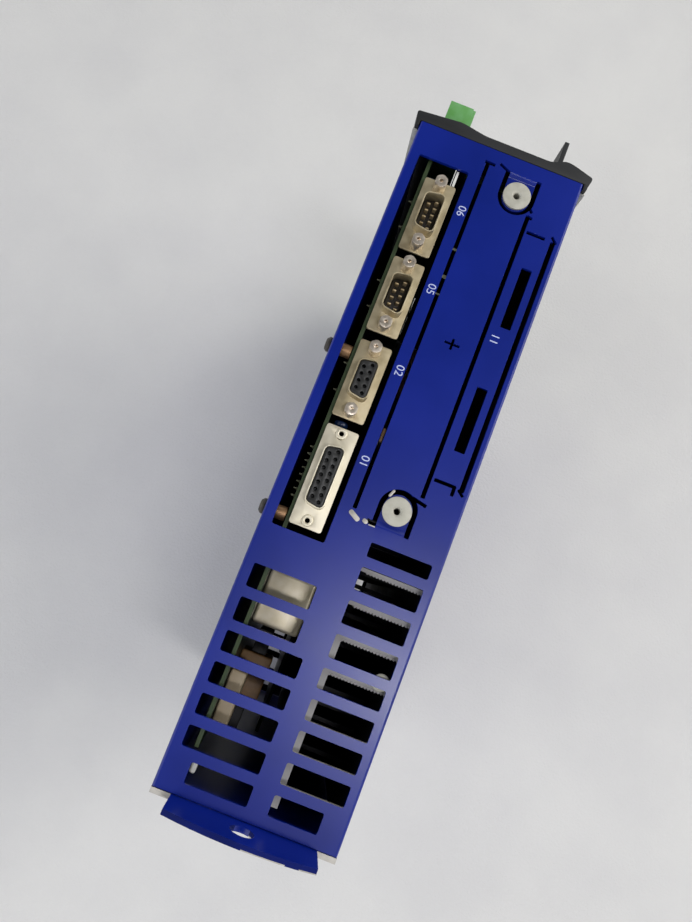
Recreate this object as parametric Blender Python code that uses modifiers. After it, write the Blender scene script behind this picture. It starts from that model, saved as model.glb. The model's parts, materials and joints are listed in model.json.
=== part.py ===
# Servo drive in a tall, narrow housing. Metres, +Z up, the front looks along -Y.
# The origin is the middle of the rear mounting face.
import math

import bmesh
import bpy
from mathutils import Matrix

# Overall body
WIDTH = 0.068
DEPTH = 0.266
HEIGHT = 0.275
SHEET = 0.0015
BEND_RADIUS = 0.0022
RETURN_LIP = 0.015
GAP = 0.0003
ARC_STEPS = 4
ROUND_SIDES = 20
SMALL_SIDES = 12
LONG_ARC_STEPS = 10
FILLET_LIMIT = 2.1

# Back plate and its two mounting flanges
PLATE = 0.002
FLANGE_HALF_WIDTH = 0.0268
FLANGE_EDGE_HEIGHT = 0.0164
FLANGE_RISE = 0.0041
FLANGE_HOLE_RADIUS = 0.0045
FLANGE_HOLE_HEIGHT = 0.0094

# Side cover behind the return lips
COVER_SHEET = 0.0012
COVER_OVERLAP = 0.004

# Connector opening in the top, from the +X side and from the front edge
BAY_SIDE = 0.0044
BAY_WIDTH = 0.0203
BAY_FRONT = 0.013
BAY_LENGTH = 0.1530
CORNER = 0.0008

# Air slots, counted from the rear edge
REAR_MARGIN = 0.0066
REAR_SLOT = 0.0075
REAR_PITCH = 0.0114
REAR_COUNT = 5
WIDE_SLOT = 0.0087
WIDE_PITCH = 0.0126
WIDE_COUNT_PLUS_SIDE = 2
WIDE_COUNT_MINUS_SIDE = 3
HALF_SLOT = 0.0055
SLOT_BAR = 0.0038
PLUS_COLUMN = (0.0042, 0.0282)
PLUS_COLUMN_REAR = (0.0042, 0.0328)
PLUS_COLUMN_LAST = (0.0098, 0.0328)
MINUS_COLUMN = (0.0405, 0.0642)
MINUS_COLUMN_LAST = (0.0405, 0.0587)

# Knock-out cover of the option slot, with two tongues that hold threaded bushes
SLIT = 0.0015
COVER_SLIT_PLUS = 0.0308
COVER_SLIT_MINUS = 0.0524
COVER_SLIT_START = 0.0065
COVER_SLIT_END = 0.151
TONGUE_SIDE = 0.0453
TONGUE_RADIUS = 0.0060
FRONT_TONGUE = 0.0144
REAR_TONGUE = 0.1460
TONGUE_LEG = 0.0080
TONGUE_BRIDGE = 0.0065
BUSH_RADIUS = 0.0055
BUSH_HEAD = 0.0010
BUSH_BORE = 0.0013
BUSH_BARREL = 0.0042
BUSH_LENGTH = 0.005
CROSS_PLACE = (0.0422, 0.0795)
CROSS_SIZE = (0.006, 0.0045)
CROSS_ARM = 0.001
GUIDE_SLITS = ((0.0550, 0.0272), (0.0550, 0.1300))
GUIDE_SLIT_LENGTH = 0.0065
GUIDE_WINDOWS = ((0.0410, 0.0253), (0.0910, 0.0260))
GUIDE_WINDOW_SIDE = 0.0573
GUIDE_WINDOW_WIDTH = 0.0042
EDGE_SLIT = (0.0646, 0.0255, 0.1060)
EDGE_SLIT_WIDTH = 0.0018

# Main circuit board, upright along the +X side
BOARD = 0.0016
BOARD_SIDE = 0.0083
BOARD_FRONT = 0.0085
BOARD_REAR = 0.018
BOARD_TOP_GAP = 0.003

# D-shaped connectors on the main board
FLANGE_DEPTH_BELOW_TOP = 0.0018
CONNECTOR_FLANGE = 0.001
CONNECTOR_FLANGE_WIDTH = 0.0125
CONNECTOR_SIDE = 0.0161
CONNECTOR_SHELL_HEIGHT = 0.0060
CONNECTOR_WALL = 0.0005
CONNECTOR_BODY = 0.0105
CONNECTOR_CORNER = 0.0022
CONNECTOR_SLANT = math.radians(10)
SMALL_FLANGE = 0.0308
LARGE_FLANGE = 0.0392
SMALL_HOLE_SPAN = 0.0250
LARGE_HOLE_SPAN = 0.0333
CONNECTORS = (
    {"name": "port_1", "middle": 0.0353, "large": False, "pins": True},
    {"name": "port_2", "middle": 0.0698, "large": False, "pins": True},
    {"name": "port_3", "middle": 0.1050, "large": False, "pins": False},
    {"name": "port_4", "middle": 0.1437, "large": True, "pins": False},
)
PIN_SHELL = (0.0169, 0.0083)
SOCKET_SHELL = (0.0163, 0.0079)
LARGE_EXTRA = 0.0083
POST_RADIUS = 0.0026
POST_CROWN = 0.0016
POST_HEIGHT = 0.0065
POST_SHOULDER = 0.0049
POST_SHANK = 0.0013
FLANGE_HOLE = 0.0016

# Screws through the return lips into the board's standoffs
SCREW_PLACES = (0.095, 0.161)
SCREW_BELOW_EDGE = 0.007
SCREW_HEAD_RADIUS = 0.003
SCREW_HEAD_CROWN = 0.0021
SCREW_HEAD = 0.002
SCREW_SHANK = 0.0015
STANDOFF_RADIUS = 0.00275

# Front bezel
BEZEL_SIDE = 0.0025
BEZEL_LIP = 0.002
BEZEL_WALL = 0.0023
BEZEL_FLOOR = 0.0016
BEZEL_EDGE = 0.0038
BEZEL_DRAFT = 0.0008
BEZEL_FLAT = (0.0255, 0.0540)
BEZEL_SLOPE = 0.010
BEZEL_ROUND = 0.012
BEZEL_SHOULDER = 0.0056
BEZEL_LOBE = 0.0068
RIB_SIDE = 0.0565
RIB = 0.0018
RIB_REACH = 0.0146
RIB_LENGTH = 0.150

# Display and keys
WINDOW = (0.020, 0.013)
WINDOW_PANE = 0.0016
WINDOW_TOP = 0.022
KEY = (0.007, 0.005)
KEY_PITCH = 0.010
KEY_TOP = 0.048
KEY_PROUD = 0.0012
KEY_TRAVEL = 0.0008
KEY_FLANGE = 0.0008
KEY_EDGE = 0.001
KEY_STEM_RADIUS = 0.0015
KEY_STEM = 0.0025
KEY_COUNT = 3
PANEL_BOARD = 0.0016
PANEL_BOARD_SIZE = (0.026, 0.066)
SWITCH = 0.001
SWITCH_SIZE = 0.0045
DISPLAY = (0.019, 0.012)

# Plug-in terminals: place is the middle from the +X side, top or bottom distance from that edge
TERMINALS = (
    {"name": "signal", "side": 0.0132, "top": 0.0060, "poles": 18, "pitch": 0.00381,
     "width": 0.0107, "reach": 0.0166, "colour": "green"},
    {"name": "supply", "side": 0.0132, "top": 0.0825, "poles": 4, "pitch": 0.00508,
     "width": 0.0107, "reach": 0.0170, "colour": "green"},
    {"name": "mains", "side": 0.0160, "bottom": 0.0600, "poles": 4, "pitch": 0.00762,
     "width": 0.0150, "reach": 0.0230, "colour": "green"},
    {"name": "motor", "side": 0.0160, "bottom": 0.0100, "poles": 6, "pitch": 0.00762,
     "width": 0.0150, "reach": 0.0230, "colour": "green"},
)
TERMINAL_END = 0.0008
HEADER_FRONT = 0.0052
HEADER_REAR = 0.0070
HEADER_WALL = 0.0010
HEADER_FLOOR = 0.0030
PLUG_NOSE = 0.0078

# Heat sink, power parts and fan
SINK_BASE_SIDE = 0.0436
SINK_BASE = 0.0066
SINK_FIN = 0.0018
SINK_FIN_PITCH = 0.00635
SINK_FRONT = 0.1558
SINK_TALL_FINS = 5
SINK_REAR = 0.0060
SINK_TOP_GAP = 0.006
SINK_FIN_DEPTH = 0.060
SINK_BASE_FRONT = 0.1910
SINK_BOTTOM_GAP = 0.0285
MODULE = (0.0055, 0.060, 0.090)
POWER_BOARD_SIDE = 0.0278
POWER_BOARD_FRONT = 0.026
POWER_BOARD_REAR = 0.0100
POWER_BOARD_BOTTOM = 0.0310
POWER_BOARD_HEIGHT = 0.150
CAPACITOR_RADIUS = 0.015
CAPACITOR_LENGTH = 0.0345
CAPACITOR_PITCH = 0.0340
CAPACITOR_COUNT = 3
CAPACITOR_FRONT = 0.051
CAPACITOR_RAISE = 0.025
CHOKE_RADIUS = 0.015
CHOKE_BORE = 0.007
CHOKE_THICKNESS = 0.013
CHOKE_RAISE = 0.0800
FAN = 0.040
FAN_THICKNESS = 0.020
FAN_BOTTOM_GAP = 0.004
FAN_BORE = 0.0187
FAN_MIDDLE_REAR = 0.052
FAN_STRUT = 0.002
HUB_RADIUS = 0.0085
BLADE_CLEARANCE = 0.0008
BLADE = 0.0010
BLADE_COUNT = 7
BLADE_TILT = math.radians(38)
SHAFT_RADIUS = 0.0015

# Parts on the main board: distance from the board's rear end and from the body's top
FILTER = {"front": 0.0850, "length": 0.021, "top": 0.0180, "height": 0.022, "width": 0.0182}
FILM = {"front": 0.0460, "length": 0.021, "top": 0.0130, "height": 0.030, "width": 0.0060}
TRANSFORMER = {"front": 0.0600, "length": 0.041, "top": 0.0480, "height": 0.034, "width": 0.0060}
CORE_LIMB = 0.008
COIL_BUILD = 0.0035
COIL_LENGTH = 0.022
RELAY = {"front": 0.0900, "length": 0.028, "top": 0.1300, "height": 0.012, "width": 0.0150}

TOP = HEIGHT / 2
FRONT = -DEPTH
SHEET_REAR = -PLATE - GAP
INSIDE_TOP = TOP - SHEET
BOARD_FACE = WIDTH / 2 - BOARD_SIDE - BOARD

FINISHES = {
    "blue_coat": ((0.012, 0.022, 0.235), 0.38, 0.0),
    "dark_plastic": ((0.030, 0.031, 0.033), 0.50, 0.0),
    "smoked_pane": ((0.030, 0.004, 0.006), 0.10, 0.0),
    "grey_key": ((0.250, 0.255, 0.260), 0.45, 0.0),
    "green_plastic": ((0.020, 0.270, 0.095), 0.42, 0.0),
    "board_green": ((0.030, 0.150, 0.060), 0.40, 0.0),
    "plated_steel": ((0.640, 0.600, 0.500), 0.28, 1.0),
    "bright_steel": ((0.700, 0.700, 0.690), 0.25, 1.0),
    "black_plastic": ((0.012, 0.012, 0.013), 0.45, 0.0),
    "grey_plastic": ((0.090, 0.092, 0.095), 0.50, 0.0),
    "pale_bush": ((0.560, 0.570, 0.580), 0.45, 0.0),
    "brass": ((0.620, 0.440, 0.170), 0.30, 1.0),
    "bare_aluminium": ((0.700, 0.710, 0.720), 0.35, 1.0),
    "cream_block": ((0.560, 0.510, 0.380), 0.55, 0.0),
    "tan_coil": ((0.420, 0.270, 0.110), 0.50, 0.0),
    "ferrite": ((0.045, 0.043, 0.042), 0.60, 0.0),
}


def clear_scene():
    for item in list(bpy.data.objects):
        bpy.data.objects.remove(item, do_unlink=True)


def new_collection(name):
    collection = bpy.data.collections.new(name)
    bpy.context.scene.collection.children.link(collection)
    return collection


def finish_material(name):
    material = bpy.data.materials.get(name)
    if material is None:
        colour, roughness, metallic = FINISHES[name]
        material = bpy.data.materials.new(name)
        material.use_nodes = True
        shader = material.node_tree.nodes["Principled BSDF"]
        shader.inputs["Base Color"].default_value = (*colour, 1.0)
        shader.inputs["Roughness"].default_value = roughness
        shader.inputs["Metallic"].default_value = metallic
    return material


def add_object(name, mesh, finish):
    """Link a mesh as a named sub-part, or as a cutter where it has no finish."""
    item = bpy.data.objects.new(name, mesh)
    if finish is None:
        cutters.objects.link(item)
        item.hide_render = True
        item.display_type = "WIRE"
    else:
        parts.objects.link(item)
        mesh.materials.clear()
        mesh.materials.append(finish_material(finish))
    return item


def mesh_from(build):
    mesh = bpy.data.meshes.new("shape")
    cage = bmesh.new()
    build(cage)
    cage.to_mesh(mesh)
    cage.free()
    return mesh


def block(name, low, high, finish):
    """A box between its lowest and highest corners."""
    size = [high[axis] - low[axis] for axis in range(3)]
    middle = [(high[axis] + low[axis]) / 2 for axis in range(3)]
    place = Matrix.Translation(middle) @ Matrix.Diagonal((*size, 1.0))
    mesh = mesh_from(lambda cage: bmesh.ops.create_cube(cage, size=1.0, matrix=place))
    return add_object(name, mesh, finish)


def fillet(corners, radius, steps=ARC_STEPS):
    """Round each corner of a closed outline with an arc."""
    points = []
    count = len(corners)
    for index, (x, y) in enumerate(corners):
        before = corners[index - 1]
        after = corners[(index + 1) % count]
        to_before = (before[0] - x, before[1] - y)
        to_after = (after[0] - x, after[1] - y)
        length_before = math.hypot(*to_before)
        length_after = math.hypot(*to_after)
        unit_before = (to_before[0] / length_before, to_before[1] / length_before)
        unit_after = (to_after[0] / length_after, to_after[1] / length_after)
        cosine = unit_before[0] * unit_after[0] + unit_before[1] * unit_after[1]
        half_angle = math.acos(max(-1.0, min(1.0, cosine))) / 2
        room = min(length_before, length_after) / FILLET_LIMIT
        reach = min(radius / math.tan(half_angle), room)
        size = reach * math.tan(half_angle)
        middle = (unit_before[0] + unit_after[0], unit_before[1] + unit_after[1])
        scale = size / math.sin(half_angle) / math.hypot(*middle)
        centre = (x + middle[0] * scale, y + middle[1] * scale)
        start = (x + unit_before[0] * reach - centre[0], y + unit_before[1] * reach - centre[1])
        end = (x + unit_after[0] * reach - centre[0], y + unit_after[1] * reach - centre[1])
        turn = math.atan2(start[0] * end[1] - start[1] * end[0], start[0] * end[0] + start[1] * end[1])
        first = math.atan2(start[1], start[0])
        for step in range(steps + 1):
            angle = first + turn * step / steps
            points.append((centre[0] + size * math.cos(angle), centre[1] + size * math.sin(angle)))
    return points


def rectangle(low, high):
    return [(low[0], low[1]), (high[0], low[1]), (high[0], high[1]), (low[0], high[1])]


def arc(centre, radius, first, last, steps):
    points = []
    for step in range(steps + 1):
        angle = first + (last - first) * step / steps
        points.append((centre[0] + radius * math.cos(angle), centre[1] + radius * math.sin(angle)))
    return points


def circle(centre, radius):
    return arc(centre, radius, 0.0, math.tau * (ROUND_SIDES - 1) / ROUND_SIDES, ROUND_SIDES - 1)


def outline_solid(name, outlines, low, high, plane, finish):
    """Flat outlines given a thickness from low to high along the plane's normal."""
    curve = bpy.data.curves.new(name, "CURVE")
    curve.dimensions = "2D"
    curve.fill_mode = "BOTH"
    curve.extrude = (high - low) / 2
    for outline in outlines:
        spline = curve.splines.new("POLY")
        spline.points.add(len(outline) - 1)
        for point, (x, y) in zip(spline.points, outline):
            point.co = (x, y, 0.0, 1.0)
        spline.use_cyclic_u = True
    flat = bpy.data.objects.new(name, curve)
    parts.objects.link(flat)
    middle = (high + low) / 2
    if plane == "XY":
        flat.matrix_world = Matrix.Translation((0, 0, middle))
    else:
        flat.matrix_world = Matrix.Translation((0, middle, 0)) @ Matrix.Rotation(math.pi / 2, 4, "X")
    bpy.context.view_layer.update()
    mesh = bpy.data.meshes.new_from_object(flat.evaluated_get(bpy.context.evaluated_depsgraph_get()))
    cage = bmesh.new()
    cage.from_mesh(mesh)
    bmesh.ops.remove_doubles(cage, verts=cage.verts, dist=0.000001)
    cage.to_mesh(mesh)
    cage.free()
    place = flat.matrix_world.copy()
    bpy.data.objects.remove(flat, do_unlink=True)
    item = add_object(name, mesh, finish)
    item.matrix_world = place
    return item


def turned(name, profile, place, direction, finish, sides=ROUND_SIDES, closed=False):
    """A profile of (radius, height) points turned about an axis through place."""
    mesh = bpy.data.meshes.new(name)
    edges = [(index, index + 1) for index in range(len(profile) - 1)]
    if closed:
        edges.append((len(profile) - 1, 0))
    mesh.from_pydata([(radius, 0.0, height) for radius, height in profile], edges, [])
    item = add_object(name, mesh, finish)
    lathe = item.modifiers.new("turn", "SCREW")
    lathe.steps = sides
    lathe.render_steps = sides
    lathe.use_merge_vertices = True
    lathe.merge_threshold = 0.000001
    turns = {
        "+X": Matrix.Rotation(math.pi / 2, 4, "Y"),
        "-Y": Matrix.Rotation(math.pi / 2, 4, "X"),
        "+Z": Matrix.Identity(4),
    }
    item.matrix_world = Matrix.Translation(place) @ turns[direction]
    if sides > 8 and finish is not None:
        mesh.shade_smooth()
        mesh.set_sharp_from_angle(angle=math.radians(35))
    return item


def cut(item, cutter, name="cut"):
    modifier = item.modifiers.new(name, "BOOLEAN")
    modifier.operation = "DIFFERENCE"
    modifier.solver = "EXACT"
    modifier.object = cutter


def join(item, addition, name="join"):
    modifier = item.modifiers.new(name, "BOOLEAN")
    modifier.operation = "UNION"
    modifier.solver = "EXACT"
    modifier.object = addition


def side_x(distance):
    """X of a place measured from the +X side of the body."""
    return WIDTH / 2 - distance


def front_y(distance):
    """Y of a place measured back from the front edge of the body."""
    return FRONT + distance


def opening(side, front, width, length, radius=CORNER):
    """Outline of a cut-out measured from the +X side and the front edge."""
    low = (side_x(side + width), front_y(front))
    high = (side_x(side), front_y(front + length))
    return fillet(rectangle(low, high), radius, 3)


def air_slots():
    """Outlines of both columns of air slots; a row is left out where it would meet a cut-out."""
    bay_end = BAY_FRONT + BAY_LENGTH + SLOT_BAR
    cover_end = COVER_SLIT_END + SLOT_BAR
    outlines = []
    front = DEPTH - REAR_MARGIN - REAR_SLOT
    for row in range(REAR_COUNT):
        plus = PLUS_COLUMN_LAST if row == 0 else PLUS_COLUMN_REAR
        minus = MINUS_COLUMN_LAST if row == 0 else MINUS_COLUMN
        if front > bay_end:
            outlines.append(opening(plus[0], front, plus[1] - plus[0], REAR_SLOT))
        if front > cover_end:
            outlines.append(opening(minus[0], front, minus[1] - minus[0], REAR_SLOT))
        front -= REAR_PITCH
    front += REAR_PITCH - SLOT_BAR - WIDE_SLOT
    for row in range(WIDE_COUNT_MINUS_SIDE):
        if row < WIDE_COUNT_PLUS_SIDE and front > bay_end:
            outlines.append(opening(PLUS_COLUMN[0], front, PLUS_COLUMN[1] - PLUS_COLUMN[0], WIDE_SLOT))
        if front > cover_end:
            outlines.append(opening(MINUS_COLUMN[0], front, MINUS_COLUMN[1] - MINUS_COLUMN[0], WIDE_SLOT))
        front -= WIDE_PITCH
    front += WIDE_PITCH - SLOT_BAR - HALF_SLOT
    if front > cover_end:
        outlines.append(opening(MINUS_COLUMN[0], front, MINUS_COLUMN[1] - MINUS_COLUMN[0], HALF_SLOT))
    return outlines


def tongue_slit(middle, facing):
    """Outline of the slit round one tongue, whose round end faces the rear (+1) or the front (-1)."""
    centre = (side_x(TONGUE_SIDE), front_y(middle))
    leg = centre[1] - facing * TONGUE_LEG
    outer = TONGUE_RADIUS + SLIT
    outside = arc(centre, outer, 0.0, facing * math.pi, LONG_ARC_STEPS)
    inside = arc(centre, TONGUE_RADIUS, facing * math.pi, 0.0, LONG_ARC_STEPS)
    far_leg = [(centre[0] - outer, leg), (centre[0] - TONGUE_RADIUS, leg)]
    return ([(centre[0] + outer, leg)] + outside + far_leg
            + inside + [(centre[0] + TONGUE_RADIUS, leg)])


def plus_outline(middle, size, arm):
    """Outline of a plus sign with arms of one width."""
    long_x, long_y = size[0] / 2, size[1] / 2
    half = arm / 2
    corners = [(half, half), (half, long_y), (-half, long_y), (-half, half),
               (-long_x, half), (-long_x, -half), (-half, -half), (-half, -long_y),
               (half, -long_y), (half, -half), (long_x, -half), (long_x, half)]
    return [(middle[0] + x, middle[1] + y) for x, y in corners]


def build_housing():
    """One folded sheet: top, -X side and bottom, with a short return lip down and up the +X side."""
    side = WIDTH / 2
    lip = TOP - RETURN_LIP
    outside = fillet([(-side, -TOP), (side, -TOP), (side, TOP), (-side, TOP)], BEND_RADIUS)
    inner = side - SHEET
    inside = fillet(rectangle((-inner, -INSIDE_TOP), (inner, INSIDE_TOP)), BEND_RADIUS - SHEET)
    housing = outline_solid("housing_shell", [outside, inside], FRONT, SHEET_REAR, "XZ", "blue_coat")
    gap = block("side_gap", (inner - SHEET, FRONT - SHEET, -lip), (side + SHEET, SHEET, lip), None)
    cut(housing, gap, "side opening")
    low, high = INSIDE_TOP - SHEET, TOP + SHEET
    slots = air_slots()
    straight = [opening(BAY_SIDE, BAY_FRONT, BAY_WIDTH, BAY_LENGTH)] + slots
    slit_length = COVER_SLIT_END - COVER_SLIT_START
    straight.append(opening(COVER_SLIT_PLUS - SLIT / 2, COVER_SLIT_START, SLIT, slit_length, SLIT / 3))
    bridge_start = FRONT_TONGUE + TONGUE_BRIDGE
    bridge_length = REAR_TONGUE - TONGUE_BRIDGE - bridge_start - SLIT
    straight.append(opening(COVER_SLIT_MINUS - SLIT / 2, bridge_start, SLIT, bridge_length, SLIT / 3))
    for slit_side, slit_front in GUIDE_SLITS:
        straight.append(opening(slit_side, slit_front - SLIT / 2, GUIDE_SLIT_LENGTH, SLIT, SLIT / 3))
    for window_front, window_length in GUIDE_WINDOWS:
        straight.append(opening(GUIDE_WINDOW_SIDE, window_front, GUIDE_WINDOW_WIDTH, window_length))
    straight.append(opening(EDGE_SLIT[0], EDGE_SLIT[1], EDGE_SLIT_WIDTH, EDGE_SLIT[2], EDGE_SLIT_WIDTH / 3))
    cross = plus_outline((side_x(CROSS_PLACE[0]), front_y(CROSS_PLACE[1])), CROSS_SIZE, CROSS_ARM)
    round_slits = [tongue_slit(FRONT_TONGUE, 1), tongue_slit(REAR_TONGUE, -1), cross]
    for place in (FRONT_TONGUE, REAR_TONGUE):
        round_slits.append(circle((side_x(TONGUE_SIDE), front_y(place)), BUSH_BARREL + GAP))
    cut(housing, outline_solid("top_cutouts", straight, low, high, "XY", None), "top cut-outs")
    cut(housing, outline_solid("tongue_cutouts", round_slits, low, high, "XY", None), "tongue slits")
    cut(housing, outline_solid("bottom_cutouts", slots, -high, -low, "XY", None), "bottom slots")
    for front in SCREW_PLACES:
        for edge in (-1, 1):
            place = (side - SHEET * 2, front_y(front), edge * (TOP - SCREW_BELOW_EDGE))
            bore = SCREW_SHANK + GAP
            hole = turned("screw_hole", [(0, SHEET * 4), (bore, SHEET * 4), (bore, 0), (0, 0)],
                          place, "+X", None, SMALL_SIDES)
            cut(housing, hole, "screw hole")


def build_side_cover():
    face = WIDTH / 2 - SHEET - GAP
    reach = TOP - RETURN_LIP + COVER_OVERLAP
    block("side_cover", (face - COVER_SHEET, FRONT + SHEET, -reach), (face, SHEET_REAR, reach), "blue_coat")


def build_back_plate():
    """Plate across the rear, with a flange that carries a fixing hole above and below the body."""
    side = WIDTH / 2
    radius = (FLANGE_HALF_WIDTH ** 2 + FLANGE_RISE ** 2) / (2 * FLANGE_RISE)
    crown = TOP + FLANGE_EDGE_HEIGHT + FLANGE_RISE
    half_angle = math.asin(FLANGE_HALF_WIDTH / radius)
    top_arc = arc((0, crown - radius), radius, math.pi / 2 - half_angle, math.pi / 2 + half_angle,
                  LONG_ARC_STEPS)
    upper = [(side, TOP), (FLANGE_HALF_WIDTH, TOP)] + top_arc + [(-FLANGE_HALF_WIDTH, TOP), (-side, TOP)]
    lower = [(-x, -z) for x, z in upper]
    holes = [circle((0, edge * (TOP + FLANGE_HOLE_HEIGHT)), FLANGE_HOLE_RADIUS) for edge in (-1, 1)]
    outline_solid("back_plate", [upper + lower] + holes, -PLATE, 0.0, "XZ", "blue_coat")


def build_side_screws():
    """Pan-head screws through the return lips, each in a brass standoff against the board."""
    lip_face = WIDTH / 2
    board_side = WIDTH / 2 - BOARD_SIDE
    standoff = lip_face - SHEET - GAP - board_side - GAP
    shank = SHEET + standoff
    for row, front in enumerate(SCREW_PLACES):
        for label, edge in (("upper", 1), ("lower", -1)):
            height = edge * (TOP - SCREW_BELOW_EDGE)
            profile = [(0, SCREW_HEAD), (SCREW_HEAD_CROWN, SCREW_HEAD), (SCREW_HEAD_RADIUS, SCREW_HEAD / 2),
                       (SCREW_HEAD_RADIUS, 0), (SCREW_SHANK, 0), (SCREW_SHANK, -shank), (0, -shank)]
            turned(f"{label}_side_screw_{row + 1}", profile, (lip_face + GAP, front_y(front), height), "+X",
                   "bright_steel", SMALL_SIDES)
            bore = SCREW_SHANK + GAP
            ring = [(bore, standoff), (STANDOFF_RADIUS, standoff), (STANDOFF_RADIUS, 0), (bore, 0)]
            turned(f"{label}_standoff_{row + 1}", ring, (board_side + GAP, front_y(front), height), "+X",
                   "brass", SMALL_SIDES, True)


def build_main_board():
    rear = -BOARD_REAR
    height = INSIDE_TOP - BOARD_TOP_GAP
    block("main_board", (BOARD_FACE, front_y(BOARD_FRONT), -height), (BOARD_FACE + BOARD, rear, height),
          "board_green")


def shield_outline(centre, length, width, radius):
    """D outline, long along Y, with its long side towards -X."""
    lean = width * math.tan(CONNECTOR_SLANT)
    half = length / 2
    corners = [(-width / 2, -half), (width / 2, -half + lean), (width / 2, half - lean), (-width / 2, half)]
    return [(centre[0] + x, centre[1] + y) for x, y in fillet(corners, radius, 3)]


def build_connector(data):
    """One D-shaped connector: plated shell with its flange, insulator, and two posts on the small ones."""
    name = data["name"]
    extra = LARGE_EXTRA if data["large"] else 0.0
    length, width = PIN_SHELL if data["pins"] else SOCKET_SHELL
    length += extra
    flange = LARGE_FLANGE if data["large"] else SMALL_FLANGE
    span = LARGE_HOLE_SPAN if data["large"] else SMALL_HOLE_SPAN
    centre = (side_x(CONNECTOR_SIDE), front_y(data["middle"]))
    face = TOP - FLANGE_DEPTH_BELOW_TOP
    under = face - CONNECTOR_FLANGE
    half_width = CONNECTOR_FLANGE_WIDTH / 2
    plate = fillet(rectangle((centre[0] - half_width, centre[1] - flange / 2),
                             (centre[0] + half_width, centre[1] + flange / 2)), CORNER, 2)
    holes = [circle((centre[0], centre[1] + end * span / 2), FLANGE_HOLE) for end in (-1, 1)]
    wall_in = CONNECTOR_WALL
    mouth = shield_outline(centre, length - 2 * wall_in, width - 2 * wall_in, CONNECTOR_CORNER - wall_in)
    outer = shield_outline(centre, length, width, CONNECTOR_CORNER)
    shell = outline_solid(f"{name}_shell", [plate, mouth] + holes, under, face, "XY", "plated_steel")
    tube = outline_solid(f"{name}_tube", [outer, mouth], face - CONNECTOR_FLANGE / 2,
                         face + CONNECTOR_SHELL_HEIGHT, "XY", None)
    join(shell, tube, "shell tube")

    nose_inset = 2 * (wall_in + GAP)
    nose = shield_outline(centre, length - nose_inset, width - nose_inset, CONNECTOR_CORNER - wall_in - GAP)
    nose_top = face if data["pins"] else face + CONNECTOR_SHELL_HEIGHT - GAP
    body_low = (centre[0] - half_width + CORNER, centre[1] - span / 2 + POST_RADIUS, under - CONNECTOR_BODY)
    body_high = (BOARD_FACE - GAP, centre[1] + span / 2 - POST_RADIUS, under - GAP)
    finish = "black_plastic" if data["pins"] else "grey_plastic"
    insulator = block(f"{name}_insulator", body_low, body_high, finish)
    join(insulator, outline_solid(f"{name}_nose", [nose], under - CONNECTOR_BODY / 2, nose_top, "XY", None),
         "nose")

    if data["large"]:
        return
    for label, end in (("front", -1), ("rear", 1)):
        profile = [(0, POST_HEIGHT), (POST_CROWN, POST_HEIGHT), (POST_RADIUS, POST_SHOULDER),
                   (POST_RADIUS, 0), (POST_SHANK, 0), (POST_SHANK, -CONNECTOR_FLANGE * 3),
                   (0, -CONNECTOR_FLANGE * 3)]
        turned(f"{name}_{label}_post", profile, (centre[0], centre[1] + end * span / 2, face + GAP), "+Z",
               "bright_steel", 6)


def build_bushes():
    """Threaded bushes in the two tongues of the option slot's cover."""
    for label, place in (("front", FRONT_TONGUE), ("rear", REAR_TONGUE)):
        ring = [(BUSH_BORE, BUSH_HEAD + GAP), (BUSH_RADIUS, BUSH_HEAD + GAP), (BUSH_RADIUS, GAP),
                (BUSH_BARREL, GAP), (BUSH_BARREL, -BUSH_LENGTH), (BUSH_BORE, -BUSH_LENGTH)]
        turned(f"option_bush_{label}", ring, (side_x(TONGUE_SIDE), front_y(place), TOP), "+Z", "pale_bush",
               ROUND_SIDES, True)


def front_column():
    """X limits of the clear strip of the front, between the rib and the plug-in terminals."""
    rib_edge = side_x(RIB_SIDE) + RIB / 2
    terminal_edge = min(side_x(data["side"]) - data["width"] / 2 for data in TERMINALS[:2])
    return rib_edge, terminal_edge


def terminal_span(data):
    """Lowest and highest Z of one plug-in terminal."""
    length = data["poles"] * data["pitch"] + TERMINAL_END
    if "top" in data:
        high = TOP - data["top"]
        return high - length, high
    low = -TOP + data["bottom"]
    return low, low + length


def bezel_outline():
    """Section of the bezel from above: two lobes and a flat between them, running on behind the lips."""
    side = WIDTH / 2 + BEZEL_SIDE
    flat = BEZEL_FLOOR + BEZEL_WALL
    rear = front_y(WIDTH)
    plus_flat = side_x(BEZEL_FLAT[0])
    plus_lobe = side_x(BEZEL_FLAT[0] - BEZEL_SLOPE)
    lip = side - BEZEL_DRAFT
    corner = FRONT - BEZEL_EDGE
    minus_flat = side_x(BEZEL_FLAT[1])
    minus_lobe = side_x(BEZEL_FLAT[1] + BEZEL_SLOPE / 2)
    lip_front = FRONT + BEZEL_LIP / 2
    corners = [(lip, rear), (-lip, rear), (-lip, lip_front), (-side, corner + SHEET), (-side, corner),
               (minus_lobe - BEZEL_SLOPE / 2, FRONT - BEZEL_SHOULDER), (minus_lobe, FRONT - BEZEL_LOBE),
               (minus_flat, FRONT - flat), (plus_flat, FRONT - flat), (plus_lobe, FRONT - BEZEL_SHOULDER),
               (side, corner), (side, corner + SHEET), (lip, lip_front)]
    return fillet(corners, BEZEL_ROUND, 3)


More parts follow.
